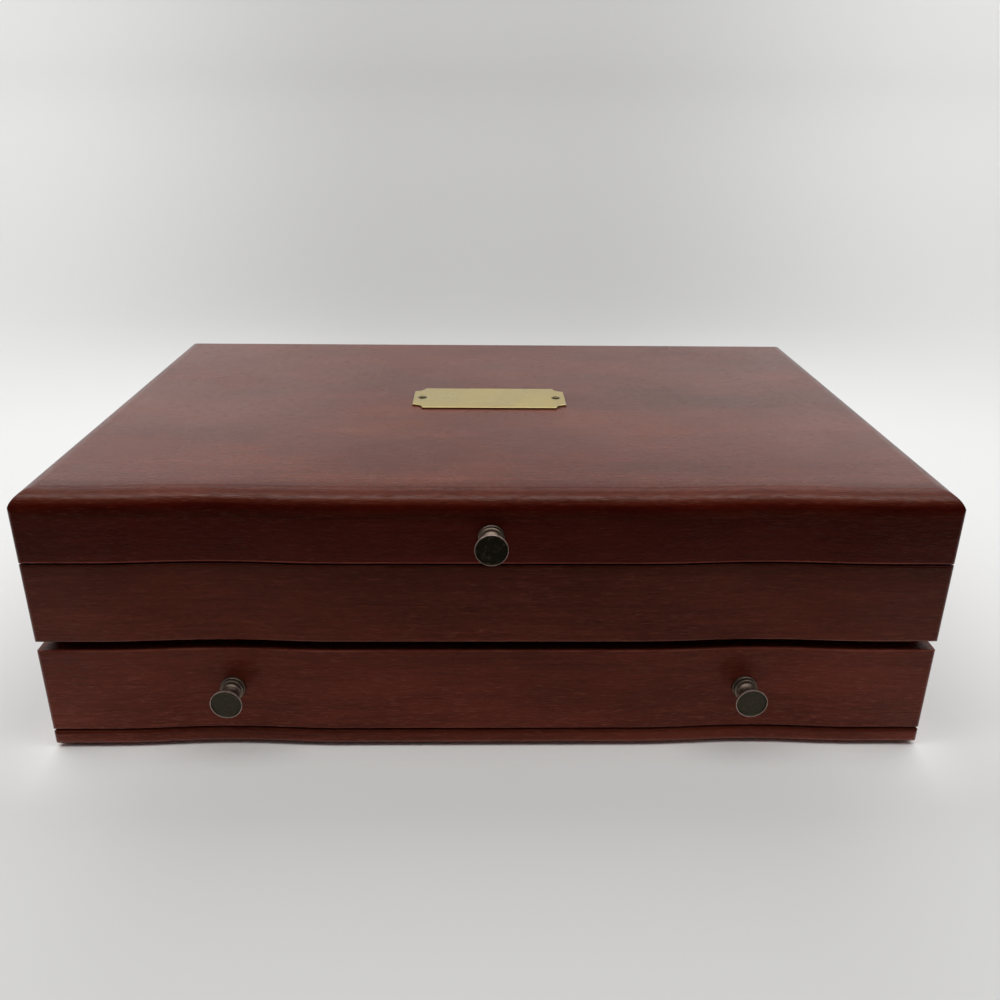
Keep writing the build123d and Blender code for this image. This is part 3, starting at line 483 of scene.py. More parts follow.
@dataclass(frozen=True)
class AgedScrews(Finish):
    """Two like domed brass heads over a seat, with painted shade round their rims and in their crosses."""

    heads: HeadPair
    seat: float
    cross_reach: float = 1.3 * MM
    cross_end: float = 1.4 * MM
    brass: Colour = (0.34, 0.265, 0.13)
    # film colours both the dark spots and the painted shade at the rims and in the crosses.
    film: Colour = (0.018, 0.014, 0.008)

    def wire(self, g: Graph, shader: Node) -> None:
        """Wires the painted shade at the rims and in the crosses, and the spots of film between them.

        Args:
            g: the material's graph.
            shader: its shader.
        """
        away = self.heads.away(g)
        # Painted shade round each rim and in each cross; the spots are film.
        rim = g.remap(away, self.heads.radius - 1.05 * MM, self.heads.radius - 0.55 * MM)
        deep = g.remap(g.axes()[2], self.seat + 0.30 * MM, self.seat + 0.55 * MM, 1.0, 0.0)
        painted_recess_shade = g.math("MULTIPLY", deep, g.remap(away, self.cross_reach, self.cross_end, 1.0, 0.0))
        spots = g.noise((2400, 2400, 2400), 3.0, 0.6)
        dark = g.math("MAXIMUM", rim, painted_recess_shade, g.remap(spots, 0.50, 0.66, 0.0, 0.6))
        g.feed(shader, {
            "Base Color": g.blend(dark, self.brass, self.film),
            "Roughness": g.remap(spots, 0.3, 0.7, 0.30, 0.46),
            "Metallic": 1.0,
        })


@dataclass(frozen=True)
class NappedCloth(Finish):
    """Flannel or felt: a matt nap with loose fibres and soft patches, both as how many a metre holds."""

    colour: Colour
    tip: Colour
    fibre: float = 1500.0
    patch: float = 45.0
    nap: float = 0.25 * MM
    sheen: float = 0.35

    def wire(self, g: Graph, shader: Node) -> None:
        """Wires the fibres' colour and relief, and the nap's sheen.

        Args:
            g: the material's graph.
            shader: its shader.
        """
        fibre = g.noise((self.fibre,) * 3, 4.0, 0.7, 0.8)
        weave = g.noise((self.fibre * 0.3, self.fibre * 0.9, self.fibre * 0.9))
        shade = g.remap(g.noise((self.patch,) * 3, 3.0, 0.6), 0.3, 0.7, 0.95, 1.04)
        g.feed(shader, {
            "Base Color": g.shaded(g.blend(g.remap(fibre, 0.35, 0.72), self.colour, self.tip), shade),
            "Normal": g.bump(g.weighted((fibre, 0.7), (weave, 0.3)), self.nap),
            "Roughness": 0.95,
            "Sheen Weight": self.sheen,
            "Sheen Roughness": 0.5,
            "Specular IOR Level": 0.2,
        })


# ---- Meshes ----
@contextmanager
def edited(mesh: bpy.types.Mesh, keep: bool = True) -> Iterator[bmesh.types.BMesh]:
    """Opens a mesh for editing.

    Args:
        mesh: the mesh.
        keep: whether the changes are written back to it.

    Yields:
        The open mesh.
    """
    work = bmesh.new()
    work.from_mesh(mesh)
    yield work
    if keep:
        work.to_mesh(mesh)
    work.free()


def tidy_faces(work: bmesh.types.BMesh, smooth: bool = True) -> None:
    """Welds a mesh's points, turns its faces outwards and sets how they are shaded.

    Args:
        work: the open mesh.
        smooth: whether the faces are shaded smooth.
    """
    bmesh.ops.remove_doubles(work, verts=work.verts, dist=WELD)
    bmesh.ops.recalc_face_normals(work, faces=work.faces)
    for face in work.faces:
        face.smooth = smooth


def close_rim(work: bmesh.types.BMesh, rules: list[Callable[[Vector], Point]]) -> None:
    """Extrudes a sheet's open rim by one rule after another and closes it with a last face.

    Args:
        work: the open mesh of the sheet.
        rules: where each rule puts a new point, from the place of the point before.
    """
    rim = [e for e in work.edges if e.is_boundary]
    for rule in rules:
        made = bmesh.ops.extrude_edge_only(work, edges=rim)["geom"]
        rim = [g for g in made if isinstance(g, bmesh.types.BMEdge)]
        for vertex in {v for e in rim for v in e.verts}:
            vertex.co = rule(vertex.co)
    bmesh.ops.holes_fill(work, edges=rim, sides=0)


def mesh_object(
    name: str, verts: list[Point], faces: list[tuple[int, ...]], edges: list[tuple[int, int]] | None = None
) -> Piece:
    """A linked, smooth mesh object at the origin, with its faces pointing outwards.

    Args:
        name: the object's name.
        verts: the points in metres.
        faces: the faces, as point numbers.
        edges: loose edges, as point numbers.

    Returns:
        The object.
    """
    mesh = bpy.data.meshes.new(name)
    mesh.from_pydata(verts, edges or [], faces)
    with edited(mesh) as work:
        tidy_faces(work)
    made = bpy.data.objects.new(name, mesh)
    bpy.context.scene.collection.objects.link(made)
    return made


def sheet_through(name: str, lines: list[list[Point]]) -> Piece:
    """An open sheet through lines of points, all with the same number.

    Args:
        name: the object's name.
        lines: the lines.

    Returns:
        The object.
    """
    wide = len(lines[0])
    faces = [
        (a, a + 1, a + wide + 1, a + wide)
        for i in range(len(lines) - 1) for a in range(i * wide, (i + 1) * wide - 1)
    ]
    return mesh_object(name, [p for line in lines for p in line], faces)


def swept_shell(name: str, rings: list[list[Point]], closed: bool = False) -> Piece:
    """A closed skin through rings of points, all with the same number.

    Args:
        name: the object's name.
        rings: the rings.
        closed: whether the last ring joins the first; otherwise both ends are capped.

    Returns:
        The object.
    """
    count = len(rings[0])
    starts = [i * count for i in range(len(rings))]
    pairs = list(zip(starts, starts[1:] + starts[:1])) if closed else list(zip(starts, starts[1:]))
    faces = []
    for a, b in pairs:
        for i in range(count):
            j = (i + 1) % count
            faces.append((a + i, a + j, b + j, b + i))
    if not closed:
        faces += [tuple(start + i for i in range(count)) for start in (starts[0], starts[-1])]
    return mesh_object(name, [p for ring in rings for p in ring], faces)


def open_ends(shell: Piece, beyond: float = -math.inf) -> None:
    """Takes the end faces off a shell swept along X, so that its neighbours weld to it.

    Args:
        shell: the shell.
        beyond: the place along X from which on its end faces go.
    """
    with edited(shell.data) as work:
        ends = [f for f in work.faces if len(f.verts) > 4 and f.calc_center_median().x > beyond]
        bmesh.ops.delete(work, geom=ends, context="FACES_ONLY")


def dress(piece: Piece, body: str, slot: str, material: Material, *nodes: str) -> None:
    """Gives a finished piece its finish, its body and the nodes that it stands for.

    Args:
        piece: the finished piece.
        body: the body that it moves with.
        slot: the record's material slot; not used.
        material: its material.
        nodes: the construction nodes that it replaces.
    """
    piece.data.materials.clear()
    piece.data.materials.append(material)
    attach(piece, body)
    if nodes:
        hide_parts(*nodes)
    LOG.info("%s: %d faces, on %s", piece.name, len(piece.data.polygons), body)


def finish_node(material: Material, *names: str) -> None:
    """Gives construction nodes a material in place of their own.

    Args:
        material: the material.
        names: the nodes.
    """
    for name in names:
        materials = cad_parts[name].data.materials
        if not materials:
            materials.append(material)
        for index in range(len(materials)):
            materials[index] = material
        LOG.info("%s: finished in %s", name, material.name)


# ---- Shared ways of making ----
def steps(low: float, high: float, largest: float, ends: tuple[float, ...] = ()) -> list[float]:
    """Places from low to high, evenly spaced between extra places near both ends.

    Args:
        low: the first place.
        high: the last place.
        largest: the largest step.
        ends: how far from each end the extra places are.

    Returns:
        The places in order.
    """
    reach = ends[-1] if ends else 0.0
    run = high - low - 2 * reach
    count = max(1, math.ceil(run / largest))
    near = (0.0, *ends[:-1]) if ends else ()
    middle = [low + reach + run * i / count for i in range(count + 1)]
    return [low + e for e in near] + middle + [high - e for e in reversed(near)]


def ripple(x: float, y: float, size: float, seed: float) -> float:
    """A slow uneven wave from -1 to 1, as long as size, at a place in the pattern that the seed picks."""
    return noise.noise(Vector((x / size, y / size, seed * 7.3)))


def soften(piece: Piece, depth: float, size: float, seed: float) -> None:
    """Moves a piece's skin in a little, as cloth over a board lies.

    Args:
        piece: the piece.
        depth: how far it moves at most.
        size: how long a wave is.
        seed: which pattern it is.
    """
    normals = [v.normal.copy() for v in piece.data.vertices]
    for vertex, normal in zip(piece.data.vertices, normals):
        place = Vector(vertex.co) / size + Vector((seed * 3.1, seed * 5.7, seed))
        vertex.co += normal * (noise.noise(place) - 1) * depth / 2
    piece.data.update()


def rounded_loop(corners: list[tuple[float, float, float]], step: float, arc_steps: int = 4) -> Section:
    """A closed convex outline with rounded corners.

    Args:
        corners: each corner and its radius, anticlockwise.
        step: the largest step on a straight run.
        arc_steps: how many steps a corner takes.

    Returns:
        The outline's points in order.
    """
    points: list[Vector] = []

    def run(start: Vector, end: Vector) -> list[Vector]:
        """The points of a straight run between its start and its end."""
        runs = max(1, math.ceil((end - start).length / step))
        return [start.lerp(end, k / runs) for k in range(1, runs)]

    for i, (x, y, radius) in enumerate(corners):
        here = Vector((x, y))
        before = (Vector(corners[i - 1][:2]) - here).normalized()
        after = (Vector(corners[(i + 1) % len(corners)][:2]) - here).normalized()
        half = before.angle(after) / 2
        centre = here + (before + after).normalized() * radius / math.sin(half)
        start = here + before * radius / math.tan(half) - centre
        turn = math.pi - 2 * half
        arc = [centre + Matrix.Rotation(turn * k / arc_steps, 2) @ start for k in range(arc_steps + 1)]
        if points:
            points += run(points[-1], arc[0])
        points += arc
    return [tuple(p) for p in points + run(points[-1], points[0])]


def drawn_in(section: Section, inset: float) -> Section:
    """An outline drawn in towards its middle, by the same distance at its side and at its top.

    Args:
        section: the outline.
        inset: the distance.

    Returns:
        The smaller outline.
    """
    us, vs = zip(*section)
    u0, v0 = (min(us) + max(us)) / 2, (min(vs) + max(vs)) / 2
    along, up = 1 - inset / (max(us) - u0), 1 - inset / (max(vs) - v0)
    return [(u0 + (u - u0) * along, v0 + (v - v0) * up) for u, v in section]


def rounded_slab(name: str, low: Point, high: Point, radius: float, step: float) -> Piece:
    """A closed slab with every edge rounded, ready to be shaped further.

    Args:
        name: the object's name.
        low: its lowest corner.
        high: its highest corner.
        radius: how round its edges are.
        step: the size of its faces.

    Returns:
        The object.
    """
    axes = [steps(low[a], high[a], step, (radius * 0.30, radius)) for a in range(3)]
    verts: list[Point] = []
    index: dict[Point, int] = {}

    def corner(place: tuple[int, int, int]) -> int:
        """The number of one point of the slab's skin, which is made when it is first asked for.

        Args:
            place: where it is in the grid.

        Returns:
            The number.
        """
        if place not in index:
            p = Vector([axes[a][place[a]] for a in range(3)])
            core = Vector([min(max(p[a], low[a] + radius), high[a] - radius) for a in range(3)])
            away = p - core
            index[place] = len(verts)
            verts.append(tuple(core + away.normalized() * radius) if away.length else tuple(p))
        return index[place]

    faces = []
    for axis in range(3):
        u, v = (axis + 1) % 3, (axis + 2) % 3
        for side, i, j in product((0, len(axes[axis]) - 1), range(len(axes[u]) - 1), range(len(axes[v]) - 1)):
            face = []
            for di, dj in ((0, 0), (1, 0), (1, 1), (0, 1)):
                place = [side] * 3
                place[u], place[v] = i + di, j + dj
                face.append(corner(tuple(place)))
            faces.append(tuple(face))
    return mesh_object(name, verts, faces)


# ---- Geometry Nodes ----
class GeometryTree:
    """A Geometry Nodes tree with named inputs, used on one object and then baked."""

    def __init__(self, name: str, inputs: dict[str, str]) -> None:
        """Starts a tree, which always has a finish as its last input.

        Args:
            name: the tree's name.
            inputs: each other input's name and the end of its socket type's name.
        """
        self.tree = bpy.data.node_groups.new(name, "GeometryNodeTree")
        self.g = Graph(self.tree)
        self.names = {}
        for label, kind in {"Geometry": "Geometry", **inputs, "Finish": "Material"}.items():
            socket = self.tree.interface.new_socket(label, in_out="INPUT", socket_type=f"NodeSocket{kind}")
            self.names[label] = socket.identifier
        self.tree.interface.new_socket("Geometry", in_out="OUTPUT", socket_type="NodeSocketGeometry")
        self.inputs = self.g.add("NodeGroupInput").outputs

    def instances(self, points: Socket, label: str, **turn: Socket) -> Socket:
        """Puts the object that an input names on every point.

        Args:
            points: the points.
            label: the input's name.
            turn: the rotation, as Rotation, where there is one.

        Returns:
            The instances.
        """
        one = self.g.add("GeometryNodeObjectInfo", {0: self.inputs[label]}).outputs["Geometry"]
        inputs = {"Points": points, "Instance": one, **turn}
        return self.g.add("GeometryNodeInstanceOnPoints", inputs).outputs[0]

    def finish(self, geometry: Socket, merge: float = 0.002 * MM) -> "GeometryTree":
        """Ends the tree: real, welded, smooth and in the piece's finish.

        Args:
            geometry: what the tree made.
            merge: how near points weld, in metres.

        Returns:
            The tree itself.
        """
        real = self.g.add("GeometryNodeRealizeInstances", {0: geometry}).outputs[0]
        welded = self.g.add("GeometryNodeMergeByDistance", {"Geometry": real, "Distance": merge}).outputs[0]
        smooth = self.g.add("GeometryNodeSetShadeSmooth", {"Geometry": welded}).outputs[0]
        dressed = self.g.add("GeometryNodeSetMaterial", {0: smooth, "Material": self.inputs["Finish"]})
        self.g.add("NodeGroupOutput", {0: dressed.outputs[0]})
        return self

    def run(self, name: str, carrier: Piece, values: dict[str, object]) -> Piece:
        """Runs the tree on an object, bakes what it makes and removes the objects that it used.

        Args:
            name: the new piece's name.
            carrier: the object that the tree works on.
            values: each input's value, by name.

        Returns:
            The plain mesh object.
        """
        modifier = carrier.modifiers.new(self.tree.name, "NODES")
        modifier.node_group = self.tree
        for label, value in values.items():
            modifier[self.names[label]] = value
        depsgraph = bpy.context.evaluated_depsgraph_get()
        mesh = bpy.data.meshes.new_from_object(carrier.evaluated_get(depsgraph), depsgraph=depsgraph)
        made = bpy.data.objects.new(name, mesh)
        bpy.context.scene.collection.objects.link(made)
        for used in (carrier, *values.values()):
            if isinstance(used, Piece):
                bpy.data.objects.remove(used)
        mesh.name = name
        return made


def row_tree() -> GeometryTree:
    """A row of like cells between two end caps, welded into one bar.

    Returns:
        The tree.
    """
    kinds = {"Cell": "Object", "Cap": "Object", "Count": "Int", "Pitch": "Float", "Middle": "Vector"}
    made = GeometryTree("row_of_cells", kinds)
    g, inputs = made.g, made.inputs

    def along_x(length: Socket) -> Socket:
        """A vector along X."""
        return g.add("ShaderNodeCombineXYZ", {0: length}).outputs[0]

    def line(count: int | Socket, length: Socket, step: Socket) -> Socket:
        """As many points as count says on a line of a length along X, with its middle at the origin."""
        ends = {"Start Location": along_x(g.math("MULTIPLY", length, -0.5)), "Offset": along_x(step)}
        return g.add("GeometryNodeMeshLine", {"Count": count, **ends}).outputs[0]

    length = g.math("MULTIPLY", inputs["Count"], inputs["Pitch"])
    middles = line(inputs["Count"], g.math("SUBTRACT", length, inputs["Pitch"]), inputs["Pitch"])
    turn = g.math("MULTIPLY", g.add("GeometryNodeInputIndex").outputs[0], math.pi)
    turned = g.add("ShaderNodeCombineXYZ", {2: turn}).outputs[0]
    caps = made.instances(line(2, length, length), "Cap", Rotation=turned)
    both = g.add("GeometryNodeJoinGeometry")
    for part in (made.instances(middles, "Cell"), caps):
        g.tree.links.new(part, both.inputs[0])
    moved = g.add("GeometryNodeTransform", {"Geometry": both.outputs[0], "Translation": inputs["Middle"]})
    return made.finish(moved.outputs[0], 0.004 * MM)


def scatter_tree() -> GeometryTree:
    """One like piece on every point of the carrier, all turned the same way.

    Returns:
        The tree.
    """
    made = GeometryTree("like_pieces_on_points", {"Piece": "Object", "Turn": "Vector"})
    points = made.g.add("GeometryNodeMeshToPoints", {"Mesh": made.inputs["Geometry"]}).outputs[0]
    return made.finish(made.instances(points, "Piece", Rotation=made.inputs["Turn"]))


def stitch_tree() -> GeometryTree:
    """Stitches at even steps along the carrier's edges, each lying along them.

    Returns:
        The tree.
    """
    made = GeometryTree("stitches_along_a_path", {"Stitch": "Object", "Step": "Float"})
    g, inputs = made.g, made.inputs
    path = g.add("GeometryNodeMeshToCurve", {"Mesh": inputs["Geometry"]}).outputs[0]
    even = g.add("GeometryNodeResampleCurve", {"Curve": path, "Length": inputs["Step"]}, mode="LENGTH")
    tangent = g.add("GeometryNodeInputTangent").outputs[0]
    turn = g.add("FunctionNodeAlignEulerToVector", {"Vector": tangent}, axis="X").outputs[0]
    return made.finish(made.instances(even.outputs[0], "Stitch", Rotation=turn))


# ---- Soft goods ----
@dataclass
class SlottedBar:
    """A cloth-covered bar along X with one slot in each of its like cells, in its construction node's room.

    The foot and the top of its section are each a half width and the radius of the corners. A slot whose
    depth is under zero is cut upwards from below. inner and lip are the radii at its bottom and its mouth.
    """

    name: str
    node: str
    body: str
    foot: tuple[float, float]
    top: tuple[float, float]
    step: float
    count: int
    half_slot: float
    depth: float
    inner: float
    lip: float
    end_round: float = 0.6 * MM

    def cut(self, half_cell: float, face: float) -> Section:
        """How high the slotted face lies at each place across one cell.

        Args:
            half_cell: half the cell's length.
            face: the height of the face that the slot is cut into.

        Returns:
            The (x, height) stations in order.
        """
        way = math.copysign(1.0, self.depth)
        floor, flat = face - self.depth, self.half_slot - self.inner
        right = [(0.0, floor)]
        if flat > 0.5 * MM:
            right.append((flat, floor))
        turns = [math.radians(30 * k) for k in range(4)]
        for turn in turns[1:]:
            rise = self.inner * (1 - math.cos(turn))
            right.append((flat + self.inner * math.sin(turn), floor + way * rise))
        for turn in turns:
            reach = self.half_slot + self.lip * (1 - math.cos(turn))
            right.append((reach, face - way * self.lip * (1 - math.sin(turn))))
        right.append((half_cell, face))
        return [(-x, height) for x, height in reversed(right[1:])] + right

    def cap(self, section: Section) -> Piece:
        """A rounded end for the bar.

        Args:
            section: the bar's section.

        Returns:
            The cap, which joins the first cell at x = 0 and points along -X.
        """
        rings = []
        for angle in (math.radians(22.5 * k) for k in range(5)):
            smaller = drawn_in(section, self.end_round * (1 - math.cos(angle)))
            rings.append([(-self.end_round * math.sin(angle), y, z) for y, z in smaller])
        made = swept_shell(f"{self.name}_cap", rings)
        open_ends(made, -self.end_round / 2)
        return made

    def make(self, tree: GeometryTree, cloth: Material) -> None:
        """Makes the bar from its cells and caps.

        Args:
            tree: the row tree.
            cloth: the covering.
        """
        low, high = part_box(self.node)
        (foot, foot_round), (top, top_round) = self.foot, self.top
        section = rounded_loop([
            (-foot, low[2], foot_round), (foot, low[2], foot_round),
            (top, high[2], top_round), (-top, high[2], top_round),
        ], self.step)
        pitch = (high[0] - low[0] - 2 * self.end_round) / self.count
        limit, face = (min, high[2]) if self.depth > 0 else (max, low[2])
        rings = [[(x, y, limit(z, height)) for y, z in section] for x, height in self.cut(pitch / 2, face)]
        cell = swept_shell(f"{self.name}_cell", rings)
        open_ends(cell)
        middle = ((low[0] + high[0]) / 2, (low[1] + high[1]) / 2, 0.0)
        bar = tree.run(self.name, mesh_object(f"{self.name}_carrier", [(0, 0, 0)], []), {
            "Cell": cell, "Cap": self.cap(section), "Count": self.count,
            "Pitch": pitch, "Middle": middle, "Finish": cloth,
        })
        soften(bar, 0.12 * MM, 9 * MM, middle[0] * 40)
        dress(bar, self.body, "flannel", cloth, self.node)


@dataclass
class GluedCloth:
    """A flannel or felt sheet glued down flat on a board, with soft cut edges."""

    name: str
    node: str
    body: str
    rests_on: str
    slot: str = "flannel"
    clear: float = 0.12 * MM
    edge_share: float = 0.42
    step: float = 7.0 * MM
    wave: float = 0.10 * MM
    wave_length: float = 22 * MM
    edge_wave_length: float = 9 * MM

    def make(self, cloth: Material) -> None:
        """Makes the sheet in the room of its construction node.

        Args:
            cloth: its material.
        """
        low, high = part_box(self.node)
        low = (low[0] + self.clear, low[1] + self.clear, low[2])
        high = (high[0] - self.clear, high[1] - self.clear, high[2])
        thick = high[2] - low[2]
        piece = rounded_slab(self.name, low, high, thick * self.edge_share, self.step)
        for vertex in piece.data.vertices:
            x, y, z = vertex.co
            if z > (low[2] + high[2]) / 2:
                vertex.co.z -= self.wave * (1 + ripple(x, y, self.wave_length, thick / MM + y))
            edge = 0.5 * self.clear * (1 + ripple(x + y, x - y, self.edge_wave_length, 2.0))
            vertex.co.x -= math.copysign(edge, x)
            vertex.co.y -= math.copysign(edge, y)
        dress(piece, self.body, self.slot, cloth, self.node)


@dataclass
class WallCloth:
    """One long flannel strip folded round the inside of a box."""

    name: str
    node: str
    body: str
    rests_on: str
    thick: float = 0.85 * MM
    glue: float = 0.05 * MM
    corner: float = 2.4 * MM
    step: float = 6.0 * MM
    level_step: float = 4.0 * MM
    round_share: float = 0.4
    top_arc: Pairs = ((0.12, 0.75), (0.5, 1.0), (0.88, 0.75))
    top_wave: float = 0.14 * MM
    top_wave_length: float = 30 * MM
    top_pattern: float = 4.2
    face_wave: float = 0.10 * MM
    face_wave_length: float = 16 * MM

    def plan(self, inset: float) -> list[Vector]:
        """The strip's line seen from above, at a distance inside the walls.

        Args:
            inset: the distance from the walls.

        Returns:
            The points in order.
        """
        (low, high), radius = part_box(self.node), self.corner - inset
        x0, y0, x1, y1 = low[0] + inset, low[1] + inset, high[0] - inset, high[1] - inset
        corners = [(x0, y0, radius), (x1, y0, radius), (x1, y1, radius), (x0, y1, radius)]
        return [Vector(p) for p in rounded_loop(corners, self.step, 6)]

    def make(self, cloth: Material) -> None:
        """Makes the strip in the room of its construction node.

        Args:
            cloth: its material.
        """
        low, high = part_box(self.node)
        round_top = self.thick * self.round_share
        levels = steps(low[2], high[2] - round_top, self.level_step)[:-1]
        rings = []
        for outer, inner in zip(self.plan(self.glue), self.plan(self.thick)):
            wave = 1 + noise.noise(Vector((*outer / self.top_wave_length, self.top_pattern)))
            edge = high[2] - self.top_wave * wave - round_top
            way = (inner - outer).normalized()
            ring = [(*outer, z) for z in (*levels, edge)]
            for share, lift in self.top_arc:
                ring.append((*outer.lerp(inner, share), edge + lift * round_top))
            for z in (edge, *reversed(levels)):
                give = self.face_wave * ripple(outer.x + outer.y, z, self.face_wave_length, 1.0)
                ring.append((*(inner - way * abs(give)), z))
            rings.append(ring)
        piece = swept_shell(self.name, rings, closed=True)
        dress(piece, self.body, "flannel", cloth, self.node)


@dataclass
class CoveredDivider:
    """A thin board wrapped in flannel, round along its top."""

    name: str
    node: str
    body: str
    clear: float = 0.15 * MM
    foot_round: float = 0.8 * MM
    top_round_share: float = 0.98
    bend: float = 0.9 * MM
    bend_stations: tuple[float, float] = (0.12 * MM, 0.35 * MM)

    def make(self, cloth: Material) -> None:
        """Makes the divider in the room of its construction node.

        Args:
            cloth: its material.
        """
        low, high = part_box(self.node)
        top_round = (high[0] - low[0]) / 2 * self.top_round_share
        section = rounded_loop([
            (low[0], low[2], self.foot_round), (high[0], low[2], self.foot_round),
            (high[0], high[2], top_round), (low[0], high[2], top_round),
        ], 3.5 * MM, 5)
        start, end = low[1] + self.clear, high[1] - self.clear
        rings = []
        for y in steps(start, end, 5.0 * MM, (*self.bend_stations, self.bend)):
            short = self.bend - min(y - start, end - y, self.bend)
            inset = self.bend - math.sqrt(max(0.0, self.bend**2 - short**2))
            rings.append([(x, y, z) for x, z in drawn_in(section, inset)])
        piece = swept_shell(self.name, rings)
        soften(piece, 0.16 * MM, 14 * MM, (low[0] + high[0]) / 2 * 50)
        dress(piece, self.body, "flannel", cloth, self.node)


@dataclass
class LidPad:
    """The padded panel that the knives lie on: flannel over wadding, blown up by a cloth simulation."""

    name: str = "lid_pad_cushion"
    node: str = "lid_pad"
    step: float = 4.0 * MM
    border: float = 5.0 * MM
    edge: float = 1.1 * MM
    crown: float = 3.2 * MM
    rise: float = 18 * MM
    stuffed_share: float = 0.45
    spare_cloth: float = 0.035
    pressure: float = 4.0
    frames: int = 20

    @cached_property
    def box(self) -> tuple[Point, Point]:
        """The lowest and the highest corner of its construction node."""
        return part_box(self.node)

    def start(self) -> Piece:
        """The flat cloth before it is blown up.

        Returns:
            The sheet, facing down.
        """
        low, high = self.box
        xs, ys = (steps(low[a], high[a], self.step, (self.border,)) for a in range(2))
        sheet = sheet_through(self.name, [[(x, y, high[2] - self.edge) for y in ys] for x in xs])
        if sheet.data.polygons[0].normal.z > 0:
            sheet.data.flip_normals()
        return sheet

    def inside(self, place: Vector) -> float:
        """How far a place is from the pad's nearest edge."""
        low, high = self.box
        return min(place.x - low[0], high[0] - place.x, place.y - low[1], high[1] - place.y)

    def blow_up(self, pad: Piece) -> None:
        """Runs the cloth simulation with the border held and keeps its shape.

        Args:
            pad: the flat cloth.
        """
        held = pad.vertex_groups.new(name="sewn_border")
        sewn = [v.index for v in pad.data.vertices if self.inside(v.co) < self.border + 0.1 * MM]
        held.add(sewn, 1.0, "REPLACE")
        modifier = pad.modifiers.new("cloth", "CLOTH")
        cloth = modifier.settings
        cloth.vertex_group_mass = held.name
        cloth.quality = 6
        cloth.mass = 0.25
        cloth.bending_stiffness = 0.4
        cloth.shrink_min = -self.spare_cloth
        cloth.use_pressure = True
        cloth.uniform_pressure_force = self.pressure
        cloth.effector_weights.gravity = 0.0
        modifier.point_cache.frame_start = 1
        modifier.point_cache.frame_end = self.frames
        scene = bpy.context.scene
        for frame_number in range(1, self.frames + 1):
            scene.frame_set(frame_number)
        shaped = pad.evaluated_get(bpy.context.evaluated_depsgraph_get()).to_mesh()
        places = [v.co.copy() for v in shaped.vertices]
        pad.modifiers.remove(modifier)
        for vertex, place in zip(pad.data.vertices, places):
            vertex.co = place
        scene.frame_set(1)

    def make(self, cloth: Material) -> None:
        """Makes the pad in the room of its construction node.

        Args:
            cloth: its material.
        """
        pad = self.start()
        self.blow_up(pad)
        level = self.box[1][2] - self.edge
        deepest = max(0.1 * MM, max(level - v.co.z for v in pad.data.vertices))
        room = self.crown - self.edge - 0.1 * MM
        for vertex in pad.data.vertices:
            full = min(1.0, max(0.0, self.inside(vertex.co) - self.border) / self.rise)
            stuffed = self.stuffed_share * room * math.sqrt(full * (2 - full))
            blown = (1 - self.stuffed_share) * (level - vertex.co.z) / deepest * room
            vertex.co.z = level - min(room, stuffed + blown)
        self.close(pad)
        dress(pad, "lid", "flannel", cloth, self.node)

    def close(self, pad: Piece) -> None:
        """Rounds the border over to the lid and closes the back.

        Args:
            pad: the shaped cloth.
        """
        low, high = self.box

        def rolled(share: float, inset: float) -> Callable[[Vector], Point]:
            """The rule for a rim that has come a share of the way to the lid and is set in by inset."""
            return lambda co: (
                min(max(co.x, low[0] + inset), high[0] - inset),
                min(max(co.y, low[1] + inset), high[1] - inset),
                high[2] - self.edge * (1 - share),
            )

        with edited(pad.data) as work:
            close_rim(work, [rolled(0.35, 0.0), rolled(0.8, 0.1 * MM), rolled(1.0, 0.6 * MM)])
            tidy_faces(work)


# ---- Sub-assemblies ----
@dataclass(frozen=True)
class Board:
    """One cut of the stained wood and the nodes that it finishes.

    rubbed is how far above the board's foot, or below its top if it is under zero, the lighter line of rubbed
    wear and painted highlight runs.
    The painted shading gives painted light and shade up the board, as pairs of a share of the board's height
    and a factor.
    """

    name: str
    nodes: tuple[str, ...]
    tone: Colour
    rubbed: float = 0.0
    painted_shading: Pairs = ()
    grain: Grain = Grain.ALONG_X


# The fronts' colour factors and painted shading stand in for light: the fronts are darker higher up, where
# less light reaches them, darker just under the edges above them as painted shadow, and the lid front has a
# painted highlight along its foot.
BOARDS = (
    Board("lid_top", ("lid_top_board",), (0.655, 0.68, 0.68)),
    Board("lid_front", ("lid_front_rail",), (0.45, 0.30, 0.38), 0.9 * MM,
          ((0.0, 1.1), (0.013, 1.1), (0.022, 2.4), (0.045, 2.4), (0.058, 1.12), (0.4, 1.0))),
    Board("case_front", ("case_front_rail",), (0.69, 0.69, 0.76), 0.9 * MM,
          ((0.0, 1.16), (0.25, 1.10), (0.6, 0.97), (0.84, 0.86), (0.92, 0.68), (1.0, 0.55))),
    Board("drawer_face", ("drawer_front",), (0.80, 0.82, 0.95), -0.5 * MM,
          ((0.0, 1.40), (0.5, 1.18), (0.9, 1.02), (1.0, 0.98))),
    Board("base", ("base_board",), (0.96, 0.94, 0.98), -0.9 * MM, ((0.0, 1.40), (0.5, 1.0), (1.0, 0.60))),
    Board("backs", ("lid_back_rail", "case_back"), (0.65, 0.65, 0.65)),
    Board("lid_sides", ("lid_side_left", "lid_side_right"), (0.6, 0.6, 0.6), 0.9 * MM, grain=Grain.ALONG_Y),
    Board("case_sides", ("case_side_left", "case_side_right"), (0.65, 0.65, 0.65), grain=Grain.ALONG_Y),
)


